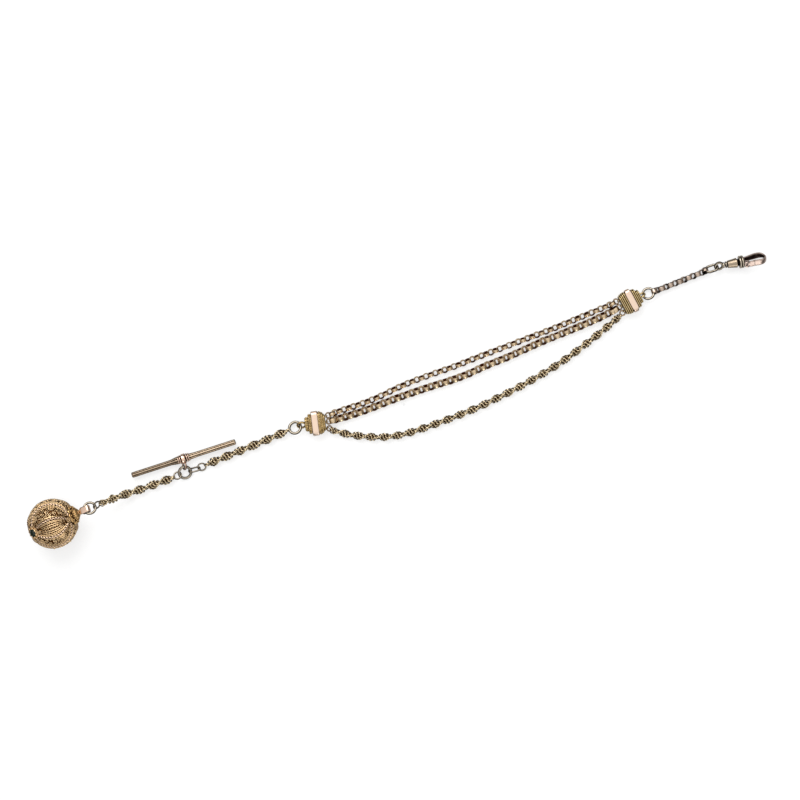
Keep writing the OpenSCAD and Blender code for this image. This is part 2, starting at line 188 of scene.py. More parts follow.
def skin(grid: Points, closed_rows: bool = False, capped: bool = True) -> Shape:
    """Joins rows of points, each row a closed ring, into a skin.

    Args:
        grid: rows x columns x 3 points.
        closed_rows: Whether the last row joins the first.
        capped: Whether the end rows are closed by a fan.

    Returns:
        The skin.
    """
    rows, columns = grid.shape[:2]
    points = grid.reshape(-1, 3)
    faces = [rows_of_quads(rows, columns, closed_rows)]
    if capped and not closed_rows:
        middles = np.array([grid[0].mean(axis=0), grid[-1].mean(axis=0)])
        faces.append(fan(0, columns, len(points), outward=False))
        faces.append(fan((rows - 1) * columns, columns, len(points) + 1, outward=True))
        points = np.vstack([points, middles])
    return Shape(points, np.vstack(faces))


def path_frames(path: Points, up: Points | Vector, closed: bool) -> tuple[Points, Points, Points]:
    """Directions along a path.

    Args:
        path: The path's points.
        up: The direction that the path's upper side faces, one for all or one for each point.
        closed: Whether the path is a loop.

    Returns:
        For each point, the directions ahead, to the side and over.
    """
    if closed:
        ahead = np.roll(path, -1, axis=0) - np.roll(path, 1, axis=0)
    else:
        ahead = np.gradient(path, axis=0)
    ahead = unit(ahead)
    side = unit(np.cross(np.broadcast_to(np.asarray(up, float), path.shape), ahead))
    return ahead, side, np.cross(ahead, side)


def sweep(path: Points, outline: Points, up: Points | Vector, closed: bool = False) -> Shape:
    """Carries an outline along a path.

    Args:
        path: The path's points.
        outline: The outline's points as side and over, one outline for all or one for each point.
        up: The direction of over, one for all or one for each point.
        closed: Whether the path is a loop.

    Returns:
        The swept skin.
    """
    _, side, over = path_frames(path, up, closed)
    outline = np.broadcast_to(outline, (len(path), *outline.shape[-2:]))
    grid = path[:, None] + outline[..., :1] * side[:, None] + outline[..., 1:] * over[:, None]
    return skin(grid, closed_rows=closed)


def round_outline(radius: float, sides: int) -> Points:
    """A circle as side and over."""
    a = np.linspace(0, 2 * math.pi, sides, endpoint=False)
    return radius * np.column_stack([np.cos(a), np.sin(a)])


def soft_box(width: float, height: float, sides: int, squareness: float) -> Points:
    """A rectangle with softly rounded corners.

    Args:
        width: Its size to the side.
        height: Its size over.
        sides: Points round it.
        squareness: 2 for an ellipse, and more for sharper corners.

    Returns:
        The outline as side and over.
    """
    a = np.linspace(0, 2 * math.pi, sides, endpoint=False) + math.pi / sides
    c, s = np.cos(a), np.sin(a)
    reach = (np.abs(c) ** squareness + np.abs(s) ** squareness) ** (-1 / squareness)
    return np.column_stack([c * reach * width / 2, s * reach * height / 2])


def banded(outline: Points, widths: np.ndarray) -> Points:
    """Outlines of a band that changes its width, from one of width 1."""
    return outline * np.column_stack([np.ones_like(widths), widths])[:, None]


def rows_round(along: np.ndarray, radius: np.ndarray, angles: np.ndarray) -> Points:
    """Rows of points round X, for skin(), with a radius for each row or for each point."""
    rows = np.broadcast_arrays(along[:, None], radius * np.cos(angles), radius * np.sin(angles))
    return np.stack(rows, axis=2)


def lathe(profile: Sequence[tuple[float, float]], sides: int = 64) -> Shape:
    """Turns a profile about X.

    Args:
        profile: Pairs of place along X and radius.
        sides: Points round the axis.

    Returns:
        The turned skin, closed at both ends.
    """
    along, radius = np.array(profile, float).T
    return skin(rows_round(along, radius[:, None], np.linspace(0, 2 * math.pi, sides, endpoint=False)))


def circle_path(radius: float, count: int, start: float = 0.0, end: float = 360.0) -> Points:
    """A circle or an arc in X and Y.

    Args:
        radius: Its radius.
        count: Number of points.
        start: Angle that it starts at.
        end: Angle that it ends at; a whole turn is closed, and its last point isn't repeated.

    Returns:
        The path.
    """
    whole = end - start >= 360
    a = np.radians(np.linspace(start, end, count, endpoint=not whole))
    return radius * np.column_stack([np.cos(a), np.sin(a), 0 * a])


def oval_path(half_length: float, half_width: float, count: int) -> Points:
    """A long loop with straight sides and round ends, in X and Y.

    Args:
        half_length: Half its size along X.
        half_width: Half its size along Y.
        count: Number of points.

    Returns:
        The path, without its first point repeated.
    """
    bow = circle_path(half_width, count // 2, -90, 90) + [half_length - half_width, 0, 0]
    return np.vstack([bow, -bow])


def torus(radius: float, wire: float, count: int, sides: int, stretch: float = 1.0) -> Shape:
    """A ring of round wire in X and Y: mean radius, wire's radius, points, and how far Y is drawn out."""
    path = circle_path(radius, count) * [1, stretch, 1]
    return sweep(path, round_outline(wire, sides), (0, 0, 1), closed=True)


def globe(rows: int, sides: int) -> Points:
    """Rows of points on a ball of radius 1, without its poles.

    Args:
        rows: Steps from pole to pole.
        sides: Points in a row.

    Returns:
        The rows from the lower pole to the upper, for skin().
    """
    a = np.linspace(0, math.pi, rows + 1)[1:-1, None]
    b = np.linspace(0, 2 * math.pi, sides, endpoint=False)
    points = np.broadcast_arrays(np.sin(a) * np.cos(b), np.sin(a) * np.sin(b), np.cos(a))
    return np.stack(points, axis=2)[::-1]


def bead(radius: float, rows: int = 6, sides: int = 8) -> Shape:
    """A small ball with its poles on Z.

    Args:
        radius: Its radius.
        rows: Steps from pole to pole.
        sides: Points in a row.

    Returns:
        The ball.
    """
    shape = skin(radius * globe(rows, sides))
    shape.points[-2:] = [[0, 0, -radius], [0, 0, radius]]
    return shape


def copies(shape: Shape, places: Iterable[Place]) -> Shape:
    """The same part at many places.

    Args:
        shape: The part in its own frame.
        places: Where each copy sits.

    Returns:
        All copies as one shape.
    """
    points = [place.put(shape.points) for place in places]
    step = len(shape.points)
    faces = [np.where(shape.faces < 0, -1, shape.faces + step * k) for k in range(len(points))]
    return Shape(np.vstack(points), np.vstack(faces))


def gone_along(path: Points) -> np.ndarray:
    """Distance along a path from its start to each of its points."""
    return np.concatenate([[0], np.cumsum(np.linalg.norm(np.diff(path, axis=0), axis=1))])


def along_route(route: Sequence[Vector], step: float) -> Points:
    """A smooth path through given points.

    Args:
        route: The points.
        step: Distance between the path's points.

    Returns:
        Points evenly spaced along the path.
    """
    knots = np.array(route, float)
    knots = np.vstack([2 * knots[0] - knots[1], knots, 2 * knots[-1] - knots[-2]])
    t = np.linspace(0, 1, 40, endpoint=False)[:, None]
    pieces = [
        0.5 * (2 * b + (c - a) * t + (2 * a - 5 * b + 4 * c - d) * t**2 + (3 * b - a - 3 * c + d) * t**3)
        for a, b, c, d in zip(knots, knots[1:], knots[2:], knots[3:])
    ]
    path = np.vstack([*pieces, knots[-2:-1]])
    gone = gone_along(path)
    even = np.linspace(0, gone[-1], max(2, round(gone[-1] / step) + 1))
    return np.column_stack([np.interp(even, gone, path[:, k]) for k in range(3)])


def padded(depth: np.ndarray, shape: Shape, rest: float = 0.3) -> np.ndarray:
    """Depths of a sweep's rows, with those of its end points added."""
    flat = np.asarray(depth, float).ravel()
    return np.append(flat, np.full(len(shape.points) - len(flat), rest))


def in_scene(name: str, data: bpy.types.ID) -> bpy.types.Object:
    """Makes an object and puts it in the scene.

    Args:
        name: Its name.
        data: Its mesh, lamp or camera.

    Returns:
        The object.
    """
    made = bpy.data.objects.new(name, data)
    bpy.context.scene.collection.objects.link(made)
    return made


class Form:
    """A mesh being built, where each point has a depth from 0, left bright, to 1, painted darkest as the
    shade in deep recesses.
    """

    def __init__(self) -> None:
        """Starts with nothing."""
        self.points: list[Points] = []
        self.faces: list[Faces] = []
        self.depths: list[np.ndarray] = []
        self.count = 0

    def add(self, shape: Shape, depth: float | np.ndarray = 0.0, place: Place = Place()) -> "Form":
        """Adds a part.

        Args:
            shape: The part.
            depth: Its depth, one for all or one for each point.
            place: Where it goes.

        Returns:
            The form itself.
        """
        self.points.append(place.put(shape.points))
        self.faces.append(np.where(shape.faces < 0, -1, shape.faces + self.count))
        self.depths.append(np.broadcast_to(np.asarray(depth, float), len(shape.points)))
        self.count += len(shape.points)
        return self

    def piece(self, name: str, finish: "Finish | Stone", slot: str, node: str, body: Body = Body.CHAIN,
              crease: float | None = None) -> None:
        """Makes the mesh into a piece of the watch chain.

        Args:
            name: The piece's name.
            finish: The finish on all of it.
            slot: The name of a material slot; not used.
            node: The construction's solid that it stands for.
            body: The body that it rides on.
            crease: Edges that bend by more than this angle stay sharp.
        """
        faces = np.vstack(self.faces)
        corners = faces[faces >= 0]
        ends = np.cumsum(np.where(faces[:, 3] < 0, 3, 4))
        mesh = bpy.data.meshes.new(name)
        mesh.vertices.add(self.count)
        mesh.vertices.foreach_set("co", (np.vstack(self.points) * MM).astype(np.float32).ravel())
        mesh.loops.add(len(corners))
        mesh.loops.foreach_set("vertex_index", corners.astype(np.int32))
        mesh.polygons.add(len(faces))
        mesh.polygons.foreach_set("loop_start", np.concatenate([[0], ends[:-1]]).astype(np.int32))
        mesh.polygons.foreach_set("use_smooth", np.ones(len(faces), bool))
        mesh.update(calc_edges=True)
        mesh.validate()
        depth = mesh.attributes.new(DEPTH, "FLOAT", "POINT")
        depth.data.foreach_set("value", np.concatenate(self.depths).astype(np.float32))
        if crease is not None:
            mesh.set_sharp_from_angle(angle=math.radians(crease))
        mesh.materials.append(finish.material())
        piece = in_scene(name, mesh)
        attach(piece, body.value)
        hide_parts(node)
        log.info("%s: %d faces", name, len(faces))


MATH = "ShaderNodeMath"
MIX = "ShaderNodeMix"

# A mix has its sockets by number, as their names aren't unique: inputs for values and for colours
MIX_FACTOR = 0
MIX_FIRST_VALUE, MIX_SECOND_VALUE = 2, 3
MIX_FIRST, MIX_SECOND = 6, 7
MIX_COLOUR = 2  # the output


def linear(hex_colour: str) -> tuple[float, float, float, float]:
    """An sRGB colour as linear light.

    Args:
        hex_colour: The colour, written as #C8A468.

    Returns:
        Red, green, blue and an alpha of 1.
    """
    parts = [int(hex_colour[k:k + 2], 16) / 255 for k in (1, 3, 5)]
    r, g, b = [c / 12.92 if c <= 0.04045 else ((c + 0.055) / 1.055) ** 2.4 for c in parts]
    return r, g, b, 1.0


def blank_tree(made: bpy.types.Material | bpy.types.World) -> bpy.types.NodeTree:
    """Turns nodes on and takes away the ones that are there at first.

    Args:
        made: The material or world.

    Returns:
        Its empty tree.
    """
    made.use_nodes = True
    made.node_tree.nodes.clear()
    return made.node_tree


def add_node(tree: bpy.types.NodeTree, kind: str, inputs: dict[str | int, object] | None = None,
             **settings: object) -> bpy.types.Node:
    """Adds a node with its settings, values and links.

    Args:
        tree: The tree that gets the node.
        kind: The node's type.
        inputs: For each input, a value or the socket that it is linked to.
        **settings: The node's own settings.

    Returns:
        The new node.
    """
    made = tree.nodes.new(kind)
    for name, value in settings.items():
        setattr(made, name, value)
    for name, value in (inputs or {}).items():
        if isinstance(value, bpy.types.NodeSocket):
            tree.links.new(value, made.inputs[name])
        else:
            made.inputs[name].default_value = value
    return made


@dataclass(frozen=True)
class Finish:
    """Gold with its tones: bright where nothing darkens it, with painted shade in recesses, on flanks and
    where pieces touch, and dirt in patches.
    """

    name: str
    bright: str
    toned: str
    # the dark colour: painted shade in recesses and where pieces touch, and tarnish
    shade_and_tarnish: str
    roughness: float  # on the bright places; the darkened ones are rougher
    shade_and_dirt: float = 1.0  # how strongly recesses and flanks are darkened by the depth: painted shade, with dirt
    contact_shade: float = 0.6  # how strongly painted shade darkens where pieces touch or lie close
    reach_mm: float = 0.5  # how far that painted shade reaches
    patch_mm: float = 2.0  # size of the patches of tone
    grain_mm: float = 0.15  # size of the fine marks
    grain_height_mm: float = 0.002
    matted: bool = False  # punched all over into small cells
    mottle: float = 0.3  # how much the patches vary the tone
    rougher: float = 0.3  # how much roughness the darkened places add

    def material(self) -> bpy.types.Material:
        """The finish's material.

        Returns:
            The material, which is made once.
        """
        if self.name in bpy.data.materials:
            return bpy.data.materials[self.name]
        made = bpy.data.materials.new(self.name)
        made.diffuse_color = linear(self.toned)
        tree = blank_tree(made)
        place = add_node(tree, "ShaderNodeTexCoord").outputs["Object"]
        patches = add_node(tree, "ShaderNodeTexNoise", {
            "Vector": place, "Scale": 1 / (self.patch_mm * MM), "Detail": 3.0, "Roughness": 0.6,
        }).outputs["Fac"]
        grain_scale = 1 / (self.grain_mm * MM)
        if self.matted:
            grain = add_node(tree, "ShaderNodeTexVoronoi", {
                "Vector": place, "Scale": grain_scale, "Randomness": 0.9,
            }, feature="SMOOTH_F1").outputs["Distance"]
        else:
            grain = add_node(tree, "ShaderNodeTexNoise", {
                "Vector": place, "Scale": grain_scale, "Detail": 2.0,
            }).outputs["Fac"]
        depth = add_node(tree, "ShaderNodeAttribute", attribute_name=DEPTH).outputs["Fac"]
        # ambient occlusion, for the painted shade where pieces touch or lie close
        open_sky = add_node(tree, "ShaderNodeAmbientOcclusion", {
            "Distance": self.reach_mm * MM,
        }, samples=8).outputs["AO"]

        # Painted shade, with dirt, in recesses and on flanks; painted shade where pieces touch; dirt in
        # patches; on matted gold also painted shade in the pits
        patchy = add_node(tree, MATH, {0: patches, 1: 0.5}, operation="SUBTRACT").outputs[0]
        uneven = add_node(tree, MATH, {0: patchy, 1: self.mottle}, operation="MULTIPLY").outputs[0]
        shut = add_node(tree, MATH, {0: 1.0, 1: open_sky}, operation="SUBTRACT").outputs[0]
        painted_touch_shade = add_node(tree, MATH, {0: shut, 1: self.contact_shade}, operation="MULTIPLY").outputs[0]
        recessed = add_node(tree, MATH, {0: depth, 1: self.shade_and_dirt}, operation="MULTIPLY").outputs[0]
        summed_shade_and_grime = add_node(tree, MATH, {0: recessed, 1: painted_touch_shade}, operation="ADD").outputs[0]
        painted_shade_and_grime = add_node(tree, MATH, {0: summed_shade_and_grime, 1: uneven}, operation="ADD", use_clamp=True).outputs[0]
        if self.matted:
            cells = add_node(tree, MATH, {0: 0.45, 1: grain}, operation="SUBTRACT").outputs[0]
            pits = add_node(tree, MATH, {0: cells, 1: self.mottle}, operation="MULTIPLY").outputs[0]
            painted_shade_and_grime = add_node(tree, MATH, {0: painted_shade_and_grime, 1: pits}, operation="ADD", use_clamp=True).outputs[0]
        # Tone: between bright and toned gold in the same patches
        twice = add_node(tree, MATH, {0: uneven, 1: 2.0}, operation="MULTIPLY").outputs[0]
        share = add_node(tree, MATH, {0: twice, 1: 0.45}, operation="ADD", use_clamp=True).outputs[0]
        tone = add_node(tree, MIX, {
            MIX_FACTOR: share, MIX_FIRST: linear(self.bright), MIX_SECOND: linear(self.toned),
        }, data_type="RGBA").outputs[MIX_COLOUR]
        # mixes in the dark colour by the painted shade and dirt
        colour = add_node(tree, MIX, {
            MIX_FACTOR: painted_shade_and_grime, MIX_FIRST: tone, MIX_SECOND: linear(self.shade_and_tarnish),
        }, data_type="RGBA").outputs[MIX_COLOUR]
        roughness = add_node(tree, "ShaderNodeMapRange", {
            "Value": painted_shade_and_grime, "To Min": self.roughness, "To Max": min(0.9, self.roughness + self.rougher),
        }).outputs["Result"]
        bump = add_node(tree, "ShaderNodeBump", {
            "Height": grain, "Distance": self.grain_height_mm * MM, "Strength": 1.0,
        }, invert=self.matted).outputs["Normal"]
        gold = add_node(tree, "ShaderNodeBsdfPrincipled", {
            "Base Color": colour, "Metallic": 1.0, "Roughness": roughness, "Normal": bump,
        })
        add_node(tree, "ShaderNodeOutputMaterial", {"Surface": gold.outputs["BSDF"]})
        return made


# Rope chain: old gold that has toned to beige on its edges, painted dark between the links with shade and
# dirt
ROPE_GOLD = Finish("old_gold_rope_wire", "#F8E4C0", "#D6BE92", "#2C1806", 0.24, shade_and_dirt=0.95, contact_shade=0.6,
                   reach_mm=0.35, patch_mm=3.0, mottle=0.4)
# Belcher chain: rose gold band, bright on its outside and painted dark brown with shade within
BELCHER_GOLD = Finish("rose_gold_belcher_band", "#F4DEBC", "#CEB088", "#482208", 0.24, shade_and_dirt=1.0, contact_shade=0.8,
                      reach_mm=0.5, patch_mm=2.5, mottle=0.45)
# End chain: the same band, greyer from handling, and painted dark with shade in its narrow slots
WORN_GOLD = Finish("rose_gold_worn_band", "#DCC8B8", "#A4907E", "#1E1008", 0.26, shade_and_dirt=1.0, contact_shade=0.9,
                   reach_mm=0.5, patch_mm=2.0, mottle=0.45)
# T-bar: drawn rose gold tube with reeds, bright on the crests and painted brown with shade in the grooves
BAR_GOLD = Finish("rose_gold_reeded_tube", "#E6D0B6", "#B89A78", "#1E1006", 0.24, shade_and_dirt=1.0, contact_shade=0.5,
                  patch_mm=5.0, mottle=0.35)
# Saddle and strap: rolled rose gold sheet, polished so that it mirrors the lamps in broad soft lights
STRAP_GOLD = Finish("rose_gold_polished_strap", "#FCE0CA", "#ECC4AA", "#3A1A0C", 0.22, shade_and_dirt=0.9, contact_shade=0.6,
                    patch_mm=2.0, mottle=0.25)
# Slides' plates: paler rose gold sheet, rubbed finely all over, so that it looks even and nearly matt
PLATE_GOLD = Finish("pale_rose_gold_plate", "#F6E0CC", "#EACAB2", "#8A6244", 0.32, shade_and_dirt=0.6, contact_shade=0.35,
                    patch_mm=3.0, mottle=0.15, grain_mm=0.08, grain_height_mm=0.001)
# Left slide: yellow gold chased all over, so that it glitters in small points over a ground with painted
# shade in its pits
CHASED_GOLD = Finish("yellow_gold_chased", "#E8CE98", "#BA9658", "#342208", 0.26, shade_and_dirt=1.0, contact_shade=0.8,
                     reach_mm=0.6, patch_mm=0.9, grain_mm=0.34, grain_height_mm=0.05, matted=True, mottle=0.8)
# Right slide: yellow gold wires laid side by side, bright along their crests, with brown lines of painted
# shade between
RIDGED_GOLD = Finish("yellow_gold_ridged", "#FAE4B0", "#D4B276", "#342208", 0.25, shade_and_dirt=1.0, contact_shade=0.8,
                     reach_mm=0.6, patch_mm=1.5, mottle=0.4)
# Ball's ground: yellow gold matted with a punch, dull, and painted dark brown as the shade between the wires,
# so that the wires on it stand out
GROUND_GOLD = Finish("yellow_gold_matted_ground", "#8A5A2A", "#583414", "#200C02", 0.45, shade_and_dirt=0.5,
                     contact_shade=1.0, reach_mm=0.5, patch_mm=1.6, grain_mm=0.3, grain_height_mm=0.06, matted=True,
                     mottle=0.8)
# Ball's wires: drawn yellow gold, bright and warm, with painted brown shade at their feet
FILIGREE_GOLD = Finish("yellow_gold_filigree_wire", "#FFE4BA", "#F2C486", "#5A3010", 0.2, shade_and_dirt=0.9,
                       contact_shade=0.5, patch_mm=2.0, mottle=0.4)
# Cap: the same gold, redder, and painted darker than the ball with shade in its recesses and where it touches
CAP_GOLD = Finish("yellow_gold_cap", "#F2CC90", "#B8864C", "#2E1404", 0.26, shade_and_dirt=1.0, contact_shade=0.9,
                  patch_mm=1.5, mottle=0.5)
# Ball's braids: twisted pale gold wire, which stands highest, painted with shade in its twists that leaves a
# row of bright points
PALE_GOLD = Finish("pale_gold_twisted_wire", "#FFE4C8", "#F8CCA4", "#2A1206", 0.18, shade_and_dirt=1.0, contact_shade=0.5,
                   patch_mm=2.0, mottle=0.3)
# Rings: drawn wire of a lower carat that has greyed with age
RING_GOLD = Finish("greyed_gold_wire", "#DED2C0", "#9C8E78", "#140C08", 0.22, shade_and_dirt=0.9, contact_shade=0.9,
                   reach_mm=0.5, patch_mm=1.5, mottle=0.4)
# Clip's cone: old gold from the lathe, dull, with one soft light along it
TURNED_GOLD = Finish("old_gold_turned", "#B8A890", "#8A7664", "#140E08", 0.3, shade_and_dirt=1.0, contact_shade=0.7,
                     patch_mm=2.5, mottle=0.3)
# Clip's hook: rolled pink gold band, bright outside and painted nearly black with shade inside its loop
BAND_GOLD = Finish("pink_gold_band", "#E8D4C8", "#C2A898", "#1C0E0A", 0.3, shade_and_dirt=1.0, contact_shade=0.5,
                   patch_mm=1.6, mottle=0.3)


@dataclass(frozen=True)
class Stone:
    """Polished bloodstone: near black and green, with a hard bright gloss."""

    name: str = "polished_bloodstone"
    colour: str = "#0B120C"
    fleck: str = "#1C281C"
    fleck_mm: float = 0.5
    gloss: tuple[float, float] = (0.05, 0.14)  # least and most roughness
    bending: float = 1.54  # index of refraction of quartz

    def material(self) -> bpy.types.Material:
        """The stone's material.

        Returns:
            The material, which is used on one piece.
        """
        made = bpy.data.materials.new(self.name)
        tree = blank_tree(made)
        place = add_node(tree, "ShaderNodeTexCoord").outputs["Object"]
        flecks = add_node(tree, "ShaderNodeTexNoise", {
            "Vector": place, "Scale": 1 / (self.fleck_mm * MM), "Detail": 4.0,
        }).outputs["Fac"]
        colour = add_node(tree, MIX, {
            MIX_FACTOR: flecks, MIX_FIRST: linear(self.colour), MIX_SECOND: linear(self.fleck),
        }, data_type="RGBA").outputs[MIX_COLOUR]
        least, most = self.gloss
        gloss = add_node(tree, "ShaderNodeMapRange", {"Value": flecks, "To Min": least, "To Max": most})
        stone = add_node(tree, "ShaderNodeBsdfPrincipled", {
            "Base Color": colour, "Roughness": gloss.outputs["Result"], "IOR": self.bending,
        })
        add_node(tree, "ShaderNodeOutputMaterial", {"Surface": stone.outputs["BSDF"]})
        return made


CREST = 0.16  # half the width of a ring's crest, which the painted flank shade leaves bright, as a share of its wire's radius
FLANK_FADE = 0.18  # over how much more of the radius the crest fades into the flank
FLANK_DEPTH = 0.85  # of the painted shade on the flanks, where 1 is as dark as a deep recess


def dark_flank(across: np.ndarray) -> np.ndarray:
    """Depths over a ring's wire: bright on the crest, with painted shade on both flanks.

    Args:
        across: How far each point lies from the wire's middle line, as a share of the wire's radius.

    Returns:
        The depth of each point.
    """
    return FLANK_DEPTH * np.clip((np.abs(across) - CREST) / FLANK_FADE, 0, 1)


def flank_shaded_torus(radius: float, wire: float, count: int, sides: int) -> tuple[Shape, np.ndarray]:
    """A ring of round wire with painted shade on its flanks.

    Args:
        radius: Mean radius.
        wire: Radius of the wire.
        count: Points round the ring.
        sides: Points round the wire.

    Returns:
        The shape and the depth of each of its points.
    """
    shape = torus(radius, wire, count, sides)
    off_middle = np.hypot(shape.points[:, 0], shape.points[:, 1]) - radius
    return shape, dark_flank(off_middle / wire)


@dataclass(frozen=True)
class Ring:
    """A ring of round wire, bent shut at a fine seam."""

    name: str
    at: Vector
    lean: Vector
    radius: float  # to the middle of the wire
    wire: float  # radius of the wire
    half: tuple[float, float] | None = None  # half length and half width of a long link
    finish: Finish = RING_GOLD
    slot: str = "grey_gold"
    seam_gap: float = 0.05
    sides: int = 14  # points round the wire
    count: int = 72  # points round a round ring
    long_count: int = 64  # points round a long link

    @property
    def place(self) -> Place:
        """Where the ring lies."""
        return Place(self.at, turned(*self.lean))

    def path(self) -> Points:
        """The wire's middle in the row frame."""
        flat = oval_path(*self.half, self.long_count) if self.half else circle_path(self.radius, self.count)
        return self.place.put(flat)

    def build(self) -> None:
        """Makes the ring."""
        if self.half:
            flat = np.roll(oval_path(*self.half, self.long_count), self.long_count // 4, axis=0)
        else:
            half_gap = math.degrees(self.seam_gap / 2 / self.radius)
            flat = circle_path(self.radius, self.count, half_gap, ALMOST_WHOLE_TURN - half_gap)
        outline = round_outline(self.wire, self.sides)
        shape = sweep(flat, outline, (0, 0, 1), closed=bool(self.half))
        # painted shade on both flanks of the wire
        flank = np.tile(dark_flank(outline[:, 0] / self.wire), len(flat))
        form = Form().add(shape, padded(flank, shape, 0.0), self.place)
        form.piece(f"{self.name}_wire", self.finish, self.slot, self.name)


def strand_link(name: str, at: Vector, lean: Vector) -> Ring:
    """One of the small rings between a slide and a strand."""
    return Ring(name, at, lean, 0.87, 0.26, finish=BELCHER_GOLD, slot="rose_gold")


# Radius to the middle of the wire, and radius of the wire, of rings that come in pairs or threes
JUMP = (1.98, 0.46)
SMALL = (1.3, 0.27)

RINGS = {ring.name: ring for ring in (
    Ring("ball_ring", (-108.5, 3.35, 10.9), (-23, 7, -6), 1.93, 0.4),
    Ring("rope_ring_1", (-106.1, 3.5, 10.05), (39, 44, -2), *SMALL),
    Ring("rope_ring_2", (-79, 3.55, 1.35), (-30, -1, 1), *SMALL),
    Ring("rope_ring_3", (-70.45, 3.5, 1.05), (27, 1, -4), *SMALL),
    Ring("tbar_ring", (-76.35, 3.7, 1.2), (17, 6, -1), *JUMP),
    Ring("oval_link", (-73.1, 3.5, 1), (-43, -1, -5), 0, 0.28, half=(1.9, 0.85)),
    Ring("slide_ring_left", (-36.75, 5.15, 1.85), (-21, -8, -6), *JUMP),
    Ring("slide_ring_right", (89.1, 6.9, 1.5), (-22, -8, 8), 1.85, 0.41),
    Ring("open_link", (111.75, 7.5, 2.15), (-34, -4, -2), 0, 0.42, half=(1.95, 1.2)),
    strand_link("left_link_top", (-24.95, 5.25, 1.95), (14, 12, 2)),
    strand_link("left_link_middle", (-25.4, 3.25, 2), (16, 11, -3)),
    strand_link("left_link_swag", (-26.05, 1, 1.9), (-2, 28, -27)),
    strand_link("right_link_top", (78.05, 8.05, 2), (12, -18, 1)),
    strand_link("right_link_middle", (78.35, 5.9, 1.95), (21, -11, 1)),
    strand_link("right_link_swag", (78.75, 3.75, 2.1), (15, -12, 30)),
)}


STEP = 0.05  # between the points of a strand's path


@dataclass(frozen=True)
class Strand:
    """A strand of links along a route, hung on a ring at each end."""

    name: str
    route: Sequence[Vector]
    ends: tuple[str, str]  # the rings' names

    def end_places(self, path: Points, reach: float) -> list[Place]:
        """Where the two end links sit, so that their rings' wires pass through them.

        Args:
            path: The strand's path.
            reach: From the middle of a ring's wire to the link's middle.

        Returns:
            The links' places, with X towards the strand and Z along the ring's wire.
        """
        places = []
        for name, end in zip(self.ends, (path[0], path[-1])):
            wire = RINGS[name].path()
            nearest = int(np.argmin(np.linalg.norm(wire - end, axis=1)))
            along_wire = unit(wire[(nearest + 1) % len(wire)] - wire[nearest - 1])
            towards = unit(end - wire[nearest])
            towards = unit(towards - along_wire * (towards @ along_wire))
            places.append(Place.of_axes(wire[nearest] + towards * reach, towards, along_wire))
        return places


class Layer(NamedTuple):
    """One of the two layers of links that a rope is built of."""

    lean: float  # of the links' planes from the rope's own line
    size: float  # share of the rope's width
    wire: float  # radius
    shift: float  # along the rope, in links
    dark: float  # how much of the shade it takes


